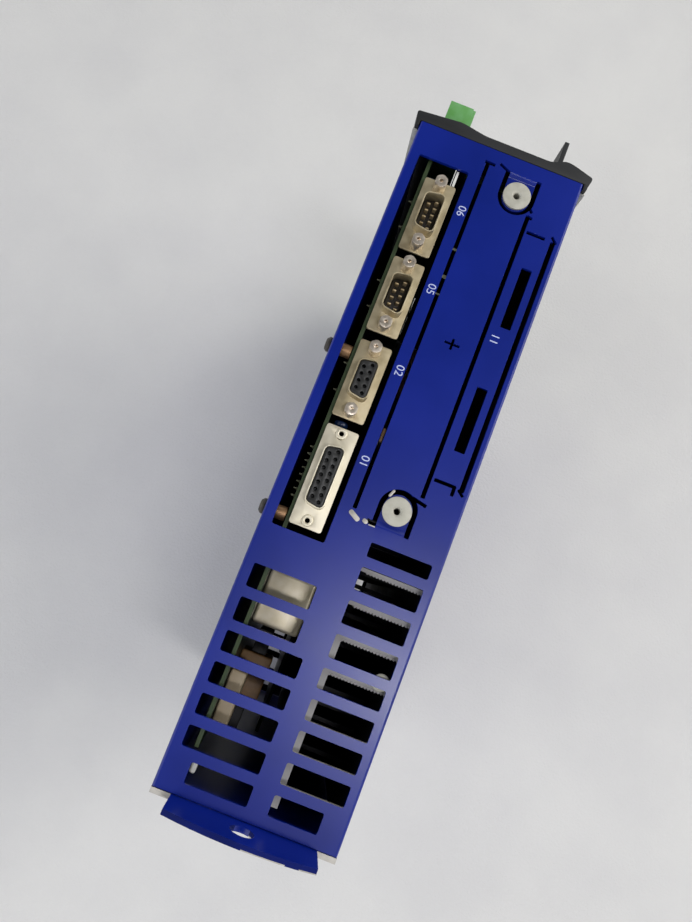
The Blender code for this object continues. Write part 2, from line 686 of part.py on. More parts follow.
def build_bezel():
    """Moulded front: a tray with windows for the display, the keys and the terminals, and one long rib."""
    bezel = outline_solid("front_bezel", [bezel_outline()], -TOP, TOP, "XY", "dark_plastic")
    outer = WIDTH / 2 + BEZEL_SIDE * 2
    trim = block("bezel_trim", (-outer, front_y(BEZEL_LIP), -TOP - SHEET),
                 (outer, front_y(WIDTH) + SHEET, TOP + SHEET), None)
    cut(bezel, trim, "end of the lips")
    inner = WIDTH / 2 - SHEET
    hollow = block("bezel_hollow", (-inner, FRONT - BEZEL_FLOOR, -INSIDE_TOP),
                   (inner, FRONT + SHEET, INSIDE_TOP), None)
    cut(bezel, hollow, "hollow")
    seat = block("bezel_seat", (-WIDTH / 2 - GAP, FRONT - GAP, -TOP - SHEET),
                 (WIDTH / 2 + GAP, FRONT + SHEET * 2, TOP + SHEET), None)
    cut(bezel, seat, "seat for the sheet")
    rib_x = side_x(RIB_SIDE)
    rib = block("bezel_rib", (rib_x - RIB / 2, FRONT - RIB_REACH, TOP - RIB_LENGTH),
                (rib_x + RIB / 2, FRONT - BEZEL_FLOOR - BEZEL_WALL / 2, TOP - CORNER), None)
    join(bezel, rib, "rib")
    low, high = FRONT - BEZEL_LOBE - SHEET, FRONT - BEZEL_FLOOR + SHEET
    strip = front_column()
    middle = (strip[0] + strip[1]) / 2
    windows = [rectangle((middle - WINDOW[0] / 2 - GAP, TOP - WINDOW_TOP - WINDOW[1] - GAP),
                         (middle + WINDOW[0] / 2 + GAP, TOP - WINDOW_TOP + GAP))]
    for index in range(KEY_COUNT):
        centre = TOP - KEY_TOP - index * KEY_PITCH
        windows.append(rectangle((middle - KEY[0] / 2 - GAP, centre - KEY[1] / 2 - GAP),
                                 (middle + KEY[0] / 2 + GAP, centre + KEY[1] / 2 + GAP)))
    for data in TERMINALS:
        bottom, top = terminal_span(data)
        reach = data["width"] / 2 + GAP + HEADER_WALL
        centre = side_x(data["side"])
        windows.append(rectangle((centre - reach, bottom - HEADER_WALL - GAP),
                                 (centre + reach, top + HEADER_WALL + GAP)))
    cut(bezel, outline_solid("bezel_windows", windows, low, high, "XZ", None), "windows")


def build_display_and_keys():
    strip = front_column()
    middle = (strip[0] + strip[1]) / 2
    flat = FRONT - BEZEL_FLOOR - BEZEL_WALL
    inside = FRONT - BEZEL_FLOOR + GAP
    board_face = inside + KEY_FLANGE + KEY_STEM + KEY_TRAVEL + GAP + SWITCH
    pane_front = flat + BEZEL_WALL / 4
    block("display_window", (middle - WINDOW[0] / 2, pane_front, TOP - WINDOW_TOP - WINDOW[1]),
          (middle + WINDOW[0] / 2, pane_front + WINDOW_PANE, TOP - WINDOW_TOP), "smoked_pane")
    display_middle = TOP - WINDOW_TOP - WINDOW[1] / 2
    module_low = (middle - DISPLAY[0] / 2, pane_front + WINDOW_PANE + GAP, display_middle - DISPLAY[1] / 2)
    module_high = (middle + DISPLAY[0] / 2, board_face - GAP, display_middle + DISPLAY[1] / 2)
    block("display_module", module_low, module_high, "black_plastic")
    board_top = TOP - WINDOW_TOP + SWITCH_SIZE
    board_side = PANEL_BOARD_SIZE[0] / 2
    board = block("panel_board", (middle - board_side, board_face, board_top - PANEL_BOARD_SIZE[1]),
                  (middle + board_side, board_face + PANEL_BOARD, board_top), "board_green")
    half_switch = SWITCH_SIZE / 2
    half_key = (KEY[0] / 2, KEY[1] / 2)
    for index in range(KEY_COUNT):
        centre = TOP - KEY_TOP - index * KEY_PITCH
        switch = block("switch_body", (middle - half_switch, board_face - SWITCH, centre - half_switch),
                       (middle + half_switch, board_face + PANEL_BOARD / 2, centre + half_switch), None)
        join(board, switch, "switch body")
        name = ("key_up", "key_down", "key_enter")[index] if index < 3 else f"key_{index + 1}"
        key = block(name, (middle - half_key[0], flat - KEY_PROUD, centre - half_key[1]),
                    (middle + half_key[0], inside + KEY_FLANGE / 2, centre + half_key[1]), "grey_key")
        edge = (half_key[0] + KEY_EDGE, half_key[1] + KEY_EDGE)
        skirt = block("key_skirt", (middle - edge[0], inside, centre - edge[1]),
                      (middle + edge[0], inside + KEY_FLANGE, centre + edge[1]), None)
        join(key, skirt, "skirt")
        reach = KEY_STEM + KEY_FLANGE / 2
        stem = turned("key_stem", [(0, reach), (KEY_STEM_RADIUS, reach), (KEY_STEM_RADIUS, 0), (0, 0)],
                      (middle, inside + KEY_FLANGE + KEY_STEM, centre), "-Y", None, SMALL_SIDES)
        join(key, stem, "stem")


def build_terminal(data):
    """A header fixed behind the bezel and the plug that pulls out of it."""
    bottom, top = terminal_span(data)
    centre = side_x(data["side"])
    half = data["width"] / 2
    rear = front_y(HEADER_REAR)
    mouth = FRONT - HEADER_FRONT
    finish = f"{data['colour']}_plastic"
    header = block(f"{data['name']}_header", (centre - half - HEADER_WALL, mouth, bottom - HEADER_WALL),
                   (centre + half + HEADER_WALL, rear, top + HEADER_WALL), finish)
    socket = block("header_socket", (centre - half, mouth - HEADER_WALL, bottom),
                   (centre + half, rear - HEADER_FLOOR, top), None)
    cut(header, socket, "socket")
    plug = block(f"{data['name']}_plug", (centre - half, FRONT - data["reach"], bottom),
                 (centre + half, mouth - GAP, top), finish)
    nose = block("plug_nose", (centre - half + GAP, mouth - GAP * 2, bottom + GAP),
                 (centre + half - GAP, mouth - GAP + PLUG_NOSE, top - GAP), None)
    join(plug, nose, "nose")


def build_heat_sink():
    """Extruded heat sink: an upright base that rises above fins towards the -X side."""
    base_x = side_x(SINK_BASE_SIDE)
    fin_end = -WIDTH / 2 + SHEET + GAP
    front = front_y(SINK_FRONT)
    rear = -PLATE - SINK_REAR
    fins = int((rear - front - SINK_FIN) / SINK_FIN_PITCH)
    points = [(base_x + SINK_BASE, front), (base_x + SINK_BASE, rear)]
    for index in range(fins, -1, -1):
        start = front + index * SINK_FIN_PITCH
        end = start + SINK_FIN
        if index == fins:
            points.append((base_x, rear))
        points += [(base_x, end), (fin_end, end), (fin_end, start), (base_x, start)]
    points[-1] = (fin_end, front)
    fin_top = TOP - SINK_FIN_DEPTH
    sink = outline_solid("heat_sink", [points], -TOP + SINK_BOTTOM_GAP, fin_top, "XY", "bare_aluminium")
    tall_base = block("sink_base", (base_x + GAP, front_y(SINK_BASE_FRONT), fin_top - SINK_BASE),
                      (base_x + SINK_BASE - GAP, rear - GAP, TOP - SINK_TOP_GAP), None)
    join(sink, tall_base, "tall base")
    tall_low = fin_top - SINK_BASE
    for index in range(SINK_TALL_FINS):
        start = front + 2 * index * SINK_FIN_PITCH
        tall_high = (base_x + SINK_BASE / 2, start + SINK_FIN - GAP / 2, TOP - SINK_TOP_GAP - GAP)
        tall_fin = block("tall_fin", (fin_end + GAP / 2, start + GAP / 2, tall_low), tall_high, None)
        join(sink, tall_fin, "tall fin")
    return base_x + SINK_BASE, front, rear


def build_power_parts():
    sink_face, sink_front, sink_rear = build_heat_sink()
    board_x = side_x(POWER_BOARD_SIDE)
    bottom = -TOP + POWER_BOARD_BOTTOM
    block("power_board", (board_x - BOARD, front_y(POWER_BOARD_FRONT), bottom),
          (board_x, -PLATE - POWER_BOARD_REAR, bottom + POWER_BOARD_HEIGHT), "board_green")
    depth, length, height = MODULE
    middle = (sink_front + sink_rear) / 2
    block("power_module", (sink_face + GAP, middle - length / 2, bottom + GAP),
          (sink_face + GAP + depth, middle + length / 2, bottom + height), "black_plastic")
    can = [(0, CAPACITOR_LENGTH), (CAPACITOR_RADIUS, CAPACITOR_LENGTH), (CAPACITOR_RADIUS, 0), (0, 0)]
    can_end = board_x - BOARD - GAP - CAPACITOR_LENGTH
    for index in range(CAPACITOR_COUNT):
        place = (can_end, front_y(CAPACITOR_FRONT + index * CAPACITOR_PITCH), bottom + CAPACITOR_RAISE)
        turned(f"bus_capacitor_{index + 1}", can, place, "+X", "grey_plastic")
    ring = [(CHOKE_BORE, CHOKE_THICKNESS), (CHOKE_RADIUS, CHOKE_THICKNESS),
            (CHOKE_RADIUS, 0), (CHOKE_BORE, 0)]
    place = (board_x - BOARD - GAP - CHOKE_THICKNESS, front_y(CAPACITOR_FRONT), bottom + CHOKE_RAISE)
    turned("line_choke", ring, place, "+X", "tan_coil", ROUND_SIDES, True)


def build_fan():
    """Square axial fan under the heat sink, with its rotor on the axis."""
    centre_x = -WIDTH / 2 + SHEET + GAP + FAN / 2
    centre_y = -FAN_MIDDLE_REAR
    low = -TOP + SHEET + FAN_BOTTOM_GAP
    high = low + FAN_THICKNESS
    square = rectangle((centre_x - FAN / 2, centre_y - FAN / 2), (centre_x + FAN / 2, centre_y + FAN / 2))
    frame = outline_solid("fan_frame", [fillet(square, CORNER * 3), circle((centre_x, centre_y), FAN_BORE)],
                          low, high, "XY", "black_plastic")
    strut_span = FAN_BORE * 2 + FAN_STRUT / 2
    struts = plus_outline((centre_x, centre_y), (strut_span, strut_span), FAN_STRUT)
    strut_low = low + FAN_STRUT / 2
    cross = outline_solid("fan_struts", [struts], strut_low, strut_low + FAN_STRUT, "XY", None)
    join(frame, cross, "struts")
    seat_low = low + FAN_STRUT / 4
    seat_top = low + FAN_STRUT * 2
    seat_height = seat_top - seat_low
    seat = turned("fan_seat", [(0, seat_height), (HUB_RADIUS, seat_height), (HUB_RADIUS, 0), (0, 0)],
                  (centre_x, centre_y, seat_low), "+Z", None)
    join(frame, seat, "motor seat")
    bore = SHAFT_RADIUS + GAP
    well = turned("fan_bearing", [(0, FAN_STRUT * 2), (bore, FAN_STRUT * 2), (bore, 0), (0, 0)],
                  (centre_x, centre_y, seat_top - FAN_STRUT), "+Z", None, SMALL_SIDES)
    cut(frame, well, "bearing")
    hub_low = seat_top + GAP
    hub_height = high - GAP - hub_low
    tail = FAN_STRUT - GAP * 2
    profile = [(0, hub_height), (HUB_RADIUS, hub_height), (HUB_RADIUS, 0), (SHAFT_RADIUS, 0),
               (SHAFT_RADIUS, -tail), (0, -tail)]
    rotor = turned("fan_rotor", profile, (centre_x, centre_y, hub_low), "+Z", "black_plastic")
    reach = FAN_BORE - BLADE_CLEARANCE
    chord = hub_height - BLADE

    def blades(cage):
        for index in range(BLADE_COUNT):
            spin = Matrix.Rotation(math.tau * index / BLADE_COUNT, 4, "Z")
            inner = HUB_RADIUS - BLADE * 2
            move = Matrix.Translation(((reach + inner) / 2, 0, 0))
            tilt = Matrix.Rotation(BLADE_TILT, 4, "X")
            size = Matrix.Diagonal((reach - inner, BLADE, chord, 1.0))
            bmesh.ops.create_cube(cage, size=1.0, matrix=spin @ move @ tilt @ size)

    fins = add_object("rotor_blades", mesh_from(blades), None)
    fins.location = (centre_x, centre_y, hub_low + hub_height / 2)
    join(rotor, fins, "blades")


def build_board_parts():
    """Parts that stand on the main board's inner face, under the air slots."""
    face = BOARD_FACE - GAP
    rear = -BOARD_REAR
    blocks = (("filter_block", FILTER, "cream_block"), ("film_capacitor", FILM, "cream_block"),
              ("relay", RELAY, "black_plastic"))
    for name, data, finish in blocks:
        top = TOP - data["top"]
        block(name, (face - data["width"], -data["front"], top - data["height"]),
              (face, -data["front"] + data["length"], top), finish)
    data = TRANSFORMER
    top = TOP - data["top"]
    low = (-data["front"], top - data["height"])
    high = (-data["front"] + data["length"], top)
    core_x = face - COIL_BUILD - data["width"]
    core_end = core_x + data["width"]
    core = block("transformer_core", (core_x, low[0], low[1]), (core_end, high[0], high[1]), "ferrite")
    window = block("core_window", (core_x - SHEET, low[0] + CORE_LIMB, low[1] + CORE_LIMB),
                   (face + SHEET, high[0] - CORE_LIMB, high[1] - CORE_LIMB), None)
    cut(core, window, "window")
    middle = (low[0] + high[0]) / 2
    coil_low = (core_x - COIL_BUILD, middle - COIL_LENGTH / 2, high[1] - CORE_LIMB - COIL_BUILD)
    coil_high = (core_end + COIL_BUILD, middle + COIL_LENGTH / 2, high[1] + COIL_BUILD)
    coil = block("transformer_coil", coil_low, coil_high, "tan_coil")
    limb = block("coil_hole", (core_x - GAP, low[0], high[1] - CORE_LIMB - GAP),
                 (core_end + GAP, high[0], high[1] + GAP), None)
    cut(coil, limb, "limb")


clear_scene()
parts = new_collection("servo_drive")
cutters = new_collection("cutters")
build_housing()
build_side_cover()
build_back_plate()
build_side_screws()
build_main_board()
for connector in CONNECTORS:
    build_connector(connector)
build_bushes()
build_bezel()
build_display_and_keys()
for terminal in TERMINALS:
    build_terminal(terminal)
build_power_parts()
build_fan()
build_board_parts()
print("objects:", len(parts.objects))
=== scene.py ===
import json
import math

import bmesh
import bpy
from mathutils import Matrix, Vector


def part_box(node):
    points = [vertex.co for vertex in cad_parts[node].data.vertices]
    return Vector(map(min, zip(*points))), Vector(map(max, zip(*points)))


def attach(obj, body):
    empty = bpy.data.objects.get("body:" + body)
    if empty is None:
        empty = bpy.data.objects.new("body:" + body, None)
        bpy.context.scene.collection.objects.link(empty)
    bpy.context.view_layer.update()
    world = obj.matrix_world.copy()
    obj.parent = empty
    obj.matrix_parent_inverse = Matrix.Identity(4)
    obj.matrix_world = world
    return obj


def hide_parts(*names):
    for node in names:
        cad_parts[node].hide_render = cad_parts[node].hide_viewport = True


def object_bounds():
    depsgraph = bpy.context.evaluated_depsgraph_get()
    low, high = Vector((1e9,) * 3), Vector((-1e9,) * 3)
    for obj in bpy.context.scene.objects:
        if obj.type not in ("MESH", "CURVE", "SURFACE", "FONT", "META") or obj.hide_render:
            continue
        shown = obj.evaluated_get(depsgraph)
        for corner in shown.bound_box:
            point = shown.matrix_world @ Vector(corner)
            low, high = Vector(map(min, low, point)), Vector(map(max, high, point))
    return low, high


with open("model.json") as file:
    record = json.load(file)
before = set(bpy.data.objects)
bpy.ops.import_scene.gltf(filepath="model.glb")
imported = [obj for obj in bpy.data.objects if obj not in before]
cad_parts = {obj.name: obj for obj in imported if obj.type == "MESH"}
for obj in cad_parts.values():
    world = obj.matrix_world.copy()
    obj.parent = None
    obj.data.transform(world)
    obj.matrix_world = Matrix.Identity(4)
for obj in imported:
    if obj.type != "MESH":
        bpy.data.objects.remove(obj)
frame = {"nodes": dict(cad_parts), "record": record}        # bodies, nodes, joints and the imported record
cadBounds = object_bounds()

# Lengths in the dictionaries are millimetres; everything in Blender is metres.
mm = 0.001
record = frame["record"]
bodyOf = {node: body for body, nodes in record["behaviour"]["bodies"].items() for node in nodes}
slotOf = {part["node"]: part["material_slot"] for part in record["subparts"]}
shellLow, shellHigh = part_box("housing_shell")
top = shellHigh.z
bottom = shellLow.z


def sideX(distance):
    # measured from the housing's side with the ports
    return shellHigh.x - distance * mm


def frontY(distance):
    # measured back from the housing's front edge
    return shellLow.y + distance * mm


# ---- small tools ----

def deselect():
    if bpy.context.object and bpy.context.object.mode != "OBJECT":
        bpy.ops.object.mode_set(mode="OBJECT")
    bpy.ops.object.select_all(action="DESELECT")


def pick(piece):
    deselect()
    piece.select_set(True)
    bpy.context.view_layer.objects.active = piece


def settle(piece):
    # the place goes into the mesh, as in the CAD nodes
    pick(piece)
    bpy.ops.object.transform_apply(location=True, rotation=True, scale=True)


def addBox(low, high):
    deselect()
    middle = [(a + b) / 2 for a, b in zip(low, high)]
    bpy.ops.mesh.primitive_cube_add(size=1, location=middle)
    piece = bpy.context.object
    piece.scale = [b - a for a, b in zip(low, high)]
    settle(piece)
    return piece


def addRound(place, radius, depth, axis="Z", sides=32, tip=None):
    # a cylinder, or a cone where tip is given, centred on place
    deselect()
    turn = {"X": (0, math.pi / 2, 0), "Y": (math.pi / 2, 0, 0), "Z": (0, 0, 0)}[axis]
    if tip is None:
        bpy.ops.mesh.primitive_cylinder_add(vertices=sides, radius=radius, depth=depth,
                                            location=place, rotation=turn)
    else:
        bpy.ops.mesh.primitive_cone_add(vertices=sides, radius1=radius, radius2=tip, depth=depth,
                                        location=place, rotation=turn)
    piece = bpy.context.object
    settle(piece)
    return piece


def joined(pieces):
    deselect()
    for piece in pieces:
        piece.select_set(True)
    bpy.context.view_layer.objects.active = pieces[0]
    if len(pieces) > 1:
        bpy.ops.object.join()
    return pieces[0]


def combine(piece, other, operation="DIFFERENCE"):
    pick(piece)
    step = piece.modifiers.new("combine", "BOOLEAN")
    step.operation = operation
    step.solver = "EXACT"
    step.object = other
    bpy.ops.object.modifier_apply(modifier="combine")
    bpy.data.objects.remove(other, do_unlink=True)


def bevelEdges(piece, wanted, width, segments):
    # bevels the edges that pass a test of their two ends
    pick(piece)
    bpy.ops.object.mode_set(mode="EDIT")
    bpy.ops.mesh.select_mode(type="EDGE")
    bpy.ops.mesh.select_all(action="DESELECT")
    cage = bmesh.from_edit_mesh(piece.data)
    for edge in cage.edges:
        edge.select = wanted(edge.verts[0].co, edge.verts[1].co)
    bmesh.update_edit_mesh(piece.data)
    bpy.ops.mesh.bevel(offset=width * mm, segments=segments)
    bpy.ops.object.mode_set(mode="OBJECT")


def upright(a, b):
    return abs(a.x - b.x) + abs(a.y - b.y) < 0.01 * mm


def roundEdges(piece, width, segments=2, angle=40):
    pick(piece)
    step = piece.modifiers.new("edges", "BEVEL")
    step.width = width * mm
    step.segments = segments
    step.limit_method = "ANGLE"
    step.angle_limit = math.radians(angle)
    step.use_clamp_overlap = True
    bpy.ops.object.modifier_apply(modifier="edges")


def soften(piece, angle=32, weighted=False):
    pick(piece)
    bpy.ops.object.shade_smooth_by_angle(angle=math.radians(angle))
    if weighted:
        # large flat faces keep their own normal, so only the rounded edges shade round
        step = piece.modifiers.new("normals", "WEIGHTED_NORMAL")
        step.mode = "FACE_AREA"
        step.weight = 90
        step.keep_sharp = True
        bpy.ops.object.modifier_apply(modifier="normals")


def paint(piece, *finishes):
    piece.data.materials.clear()
    for finish in finishes:
        piece.data.materials.append(finish)


def keep(piece, name, body, slot, *nodes):
    piece.name = name
    piece.data.name = name
    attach(piece, body)
    if nodes:
        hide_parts(*nodes)
    return piece


def complete(piece, finish, angle, name, body, slot, *nodes):
    soften(piece, angle)
    paint(piece, finish)
    return keep(piece, name, body, slot, *nodes)


def openMesh(piece, action="SELECT"):
    pick(piece)
    bpy.ops.object.mode_set(mode="EDIT")
    bpy.ops.mesh.select_all(action=action)


def closeMesh():
    bpy.ops.object.mode_set(mode="OBJECT")


def cleanCopy(node):
    # a welded copy of a CAD node, with its flat faces whole again
    piece = bpy.data.objects.new(node + "Copy", frame["nodes"][node].data.copy())
    bpy.context.scene.collection.objects.link(piece)
    openMesh(piece)
    bpy.ops.mesh.remove_doubles(threshold=0.001 * mm)
    bpy.ops.mesh.dissolve_limited(angle_limit=math.radians(1))
    closeMesh()
    return piece


def polish(node, finish, edge=0.3, segments=2, angle=40):
    # a CAD node's own shape with rounded edges and its real finish
    piece = cleanCopy(node)
    roundEdges(piece, edge, segments, angle)
    return complete(piece, finish, 32, node + "Finished", bodyOf[node], slotOf[node], node)


# ---- materials ----

def linear(code):
    channels = []
    for start in (0, 2, 4):
        value = int(code[start:start + 2], 16) / 255
        channels.append(value / 12.92 if value <= 0.04045 else ((value + 0.055) / 1.055) ** 2.4)
    return (*channels, 1.0)


def addNode(tree, kind, settings=None, links=None):
    node = tree.nodes.new(kind)
    for name, value in (settings or {}).items():
        if name in node.inputs:
            node.inputs[name].default_value = value
        else:
            setattr(node, name, value)
    for name, socket in (links or {}).items():
        tree.links.new(socket, node.inputs[name])
    return node


def surface(name, look):
    # two close colours in soft patches, an uneven sheen, and a fine relief at its real size
    material = bpy.data.materials.new(name)
    material.use_nodes = True
    tree = material.node_tree
    shader = tree.nodes["Principled BSDF"]
    shader.inputs["Metallic"].default_value = look.get("metallic", 0.0)
    if not look.get("metallic"):
        shader.inputs["IOR"].default_value = 1.5    # typical of plastics, coats and resins
    for socket in ("Specular IOR Level", "Coat Weight", "Coat Roughness"):
        if socket in look:
            shader.inputs[socket].default_value = look[socket]
    place = addNode(tree, "ShaderNodeTexCoord").outputs["Object"]
    stretch = look.get("stretch", (1, 1, 1))
    drawn = addNode(tree, "ShaderNodeMapping", {"Scale": stretch}, {"Vector": place}).outputs["Vector"]
    patches = addNode(tree, "ShaderNodeTexNoise", {"Scale": 1 / (look["patch"] * mm), "Detail": 4.0},
                      {"Vector": place}).outputs["Fac"]
    tint = addNode(tree, "ShaderNodeMapRange", {"From Min": 0.35, "From Max": 0.65}, {"Value": patches})
    mix = addNode(tree, "ShaderNodeMix", {"data_type": "RGBA"}, {"Factor": tint.outputs["Result"]})
    colours = [socket for socket in mix.inputs if socket.type == "RGBA"]
    colours[0].default_value = linear(look["colours"][0])
    colours[1].default_value = linear(look["colours"][1])
    result = [socket for socket in mix.outputs if socket.type == "RGBA"][0]
    tree.links.new(result, shader.inputs["Base Color"])
    grain = addNode(tree, "ShaderNodeTexNoise", {"Scale": 1 / (look["grain"] * mm), "Detail": 3.0,
                                                 "Roughness": 0.6}, {"Vector": drawn}).outputs["Fac"]
    smooth, rough = look["roughness"]
    sheen = addNode(tree, "ShaderNodeMapRange", {"From Min": 0.3, "From Max": 0.7, "To Min": smooth,
                                                 "To Max": rough}, {"Value": patches})
    tree.links.new(sheen.outputs["Result"], shader.inputs["Roughness"])
    relief = addNode(tree, "ShaderNodeBump", {"Strength": look.get("strength", 0.5),
                                              "Distance": look.get("relief", 0.01) * mm}, {"Height": grain})
    tree.links.new(relief.outputs["Normal"], shader.inputs["Normal"])
    return material


# Powder coat cures with a slight orange peel about a millimetre across, so its sheen is broken up.
blueCoat = surface("powderCoatUltramarine", {
    "colours": ("03196C", "041C78"), "patch": 40, "grain": 0.9, "relief": 0.02, "strength": 0.35,
    "roughness": (0.28, 0.32), "Specular IOR Level": 0.38})
# Punched and sheared edges of coated sheet are bare and bright; the same finish also paints glints where an
# edge catches the light.
bareEdgeAndGlint = surface("shearedSteelEdgeAndGlint", {
    "colours": ("A5A199", "B7B3AA"), "patch": 3, "grain": 0.5, "relief": 0.03, "stretch": (1, 1, 0.2),
    "roughness": (0.4, 0.55), "metallic": 0.5})
# Painted shade: the flange's top edge gets a darker, duller blue than the coat, so it stays as dark as the
# face beside it.
shadedEdgeCoat = surface("shadedFlangeEdgeCoat", {
    "colours": ("03104C", "04135A"), "patch": 20, "grain": 0.9, "relief": 0.02,
    "roughness": (0.45, 0.55), "Specular IOR Level": 0.1})
# Moulded ABS with a fine spark-eroded texture has a soft even grey sheen.
bezelAbs = surface("sparkTexturedAbs", {
    "colours": ("161718", "1B1C1D"), "patch": 25, "grain": 0.35, "relief": 0.03, "strength": 0.5,
    "roughness": (0.48, 0.6), "Specular IOR Level": 0.4})
# Glass-filled polyamide for terminals is slightly mottled and satin.
greenPolyamide = surface("mouldedGreenPolyamide", {
    "colours": ("559148", "60995A"), "patch": 4, "grain": 0.5, "relief": 0.015,
    "roughness": (0.38, 0.5)})
# Tin-plated drawn steel is a warm silver with a smeared sheen.
tinPlate = surface("tinPlatedDrawnSteel", {
    "colours": ("CDC5AE", "DAD3BF"), "patch": 5, "grain": 0.6, "stretch": (1, 0.25, 1),
    "roughness": (0.42, 0.55), "metallic": 0.85})
# Older nickel over the smaller shells has gone yellowish, with a little less shine.
yellowNickel = surface("yellowedNickelShell", {
    "colours": ("A89B7C", "B9AD90"), "patch": 5, "grain": 0.6, "stretch": (1, 0.25, 1),
    "roughness": (0.42, 0.55), "metallic": 0.85})
# The turned posts are a warm nickel with soft tool bands around them.
warmNickel = surface("turnedWarmNickel", {
    "colours": ("DACDBB", "EADFCE"), "patch": 2, "grain": 0.5, "stretch": (0.3, 0.3, 3),
    "roughness": (0.26, 0.38), "metallic": 0.9})
# Solder left on the tails dulls to a grey-green under flux.
dullSolder = surface("fluxDulledSolder", {
    "colours": ("565842", "6A6C55"), "patch": 1.5, "grain": 0.3, "relief": 0.02,
    "roughness": (0.45, 0.6), "metallic": 0.2})
# Bright zinc on cold-headed steel has small soft facets.
brightZinc = surface("brightZincSteel", {
    "colours": ("D6D6D2", "E4E3DE"), "patch": 2, "grain": 0.4,
    "roughness": (0.16, 0.28), "metallic": 1.0})
# Gold-flashed contacts.
goldFlash = surface("goldFlashedContact", {
    "colours": ("B09C78", "C2B08C"), "patch": 2, "grain": 0.4, "relief": 0.005,
    "roughness": (0.38, 0.5), "metallic": 0.7})
# The cover screws are painted a dark steel, painted shade for heads on the shaded side of the housing, and
# they show a little wear at the rim.
shadedScrewSteel = surface("shadedDarkSteel", {
    "colours": ("3A3734", "4C4844"), "patch": 2, "grain": 0.4, "relief": 0.02,
    "roughness": (0.5, 0.62), "metallic": 0.6})
# The headers are the same green polyamide, painted much darker as painted shade, since they sit in the dark
# behind the bezel.
shadedHeaderPolyamide = surface("shadedGreenPolyamide", {
    "colours": ("13291A", "18311D"), "patch": 4, "grain": 0.5, "relief": 0.015,
    "roughness": (0.42, 0.54)})
# PBT insulators are a dense black or slate with a faint glass-fibre grain.
blackPbt = surface("mouldedBlackPbt", {
    "colours": ("17130F", "1D1915"), "patch": 5, "grain": 0.3,
    "roughness": (0.38, 0.5)})
greyPbt = surface("mouldedSlatePbt", {
    "colours": ("141413", "1B1B1A"), "patch": 5, "grain": 0.3,
    "roughness": (0.4, 0.52)})
# The bushes are turned and dull-plated: a pale grey with almost no mirror.
dullZinc = surface("dullPlatedTurnedBush", {
    "colours": ("A3A194", "AEACA0"), "patch": 3, "grain": 0.25,
    "roughness": (0.5, 0.62), "metallic": 0.25})
turnedBrass = surface("turnedBrass", {
    "colours": ("8E6E4E", "A07F60"), "patch": 3, "grain": 0.3, "stretch": (4, 1, 1),
    "roughness": (0.4, 0.52), "metallic": 0.8})
# Extruded aluminium carries long die lines down its length.
dieAluminium = surface("extrudedAluminium", {
    "colours": ("9A9897", "A8A6A5"), "patch": 8, "grain": 0.5, "relief": 0.02, "stretch": (1, 1, 0.05),
    "roughness": (0.55, 0.68), "metallic": 0.15})
# Solder mask over glass-epoxy shows a faint weave, and its green is painted nearly black as painted shade
# for boards lying in the dark inside; the sawn edge is dull olive.
boardMask = surface("solderMaskGlassEpoxy", {
    "colours": ("06120A", "08190D"), "patch": 6, "grain": 0.6,
    "roughness": (0.3, 0.42)})
boardEdge = surface("sawnGlassEpoxyEdge", {
    "colours": ("2B3C1D", "384826"), "patch": 2, "grain": 0.3, "relief": 0.03, "stretch": (0.4, 1, 3),
    "roughness": (0.55, 0.7)})
# A crimped can over the line filter: satin, warm and slightly streaked.
filterCan = surface("satinFilterCan", {
    "colours": ("D2C6A6", "E0D6BE"), "patch": 5, "grain": 0.8, "relief": 0.04, "stretch": (1, 0.2, 1),
    "roughness": (0.3, 0.42), "metallic": 0.3})
creamResin = surface("castCreamResin", {
    "colours": ("A8977B", "B4A488"), "patch": 6, "grain": 0.5, "relief": 0.02,
    "roughness": (0.45, 0.6)})
windingTape = surface("wovenWindingTape", {
    "colours": ("7A5C38", "8C6C46"), "patch": 3, "grain": 0.4, "relief": 0.05, "stretch": (1, 1, 4),
    "roughness": (0.5, 0.65)})
ferrite = surface("sinteredFerrite", {
    "colours": ("232325", "2B2B2D"), "patch": 3, "grain": 0.3, "relief": 0.04,
    "roughness": (0.55, 0.7)})
# The sink is anodised black before its top faces are cut, so those faces are bare metal; cut faces deep in
# the sink keep the black as painted shade.
blackAnodised = surface("blackAnodisedAluminium", {
    "colours": ("0E0E10", "151517"), "patch": 8, "grain": 0.5, "relief": 0.02, "stretch": (1, 1, 0.05),
    "roughness": (0.45, 0.6), "Specular IOR Level": 0.3})
# A black insulating film lines the housing, matt and slightly rippled.
liningFilm = surface("blackInsulatingFilm", {
    "colours": ("0B0B0C", "111113"), "patch": 20, "grain": 3, "relief": 0.03,
    "roughness": (0.5, 0.65), "Specular IOR Level": 0.3})
# Pale closed-cell foam seals the bezel against the sheet.
paleFoam = surface("paleGasketFoam", {
    "colours": ("8E8E88", "9C9C96"), "patch": 3, "grain": 0.3, "relief": 0.08,
    "roughness": (0.8, 0.9), "Specular IOR Level": 0.2})
blackAbs = surface("mouldedBlackAbs", {
    "colours": ("0A0A0B", "0E0E0F"), "patch": 10, "grain": 0.4, "relief": 0.02,
    "roughness": (0.4, 0.55)})
canSleeve = surface("shrunkPvcSleeve", {
    "colours": ("20242C", "272C35"), "patch": 10, "grain": 0.8, "relief": 0.02,
    "roughness": (0.28, 0.4)})
keyGrey = surface("mouldedGreyKey", {
    "colours": ("8E9296", "979B9F"), "patch": 4, "grain": 0.3, "relief": 0.015,
    "roughness": (0.4, 0.5)})
smokedPane = surface("polishedSmokedPane", {
    "colours": ("2A0507", "2E0608"), "patch": 20, "grain": 4, "relief": 0.002,
    "roughness": (0.05, 0.08), "Coat Weight": 0.6, "Coat Roughness": 0.04})
# Unlit display segments are a dark red under the smoked pane.
milkySegment = surface("milkySegmentPlastic", {
    "colours": ("5A1A1C", "632022"), "patch": 3, "grain": 0.4, "relief": 0.004,
    "roughness": (0.3, 0.4)})
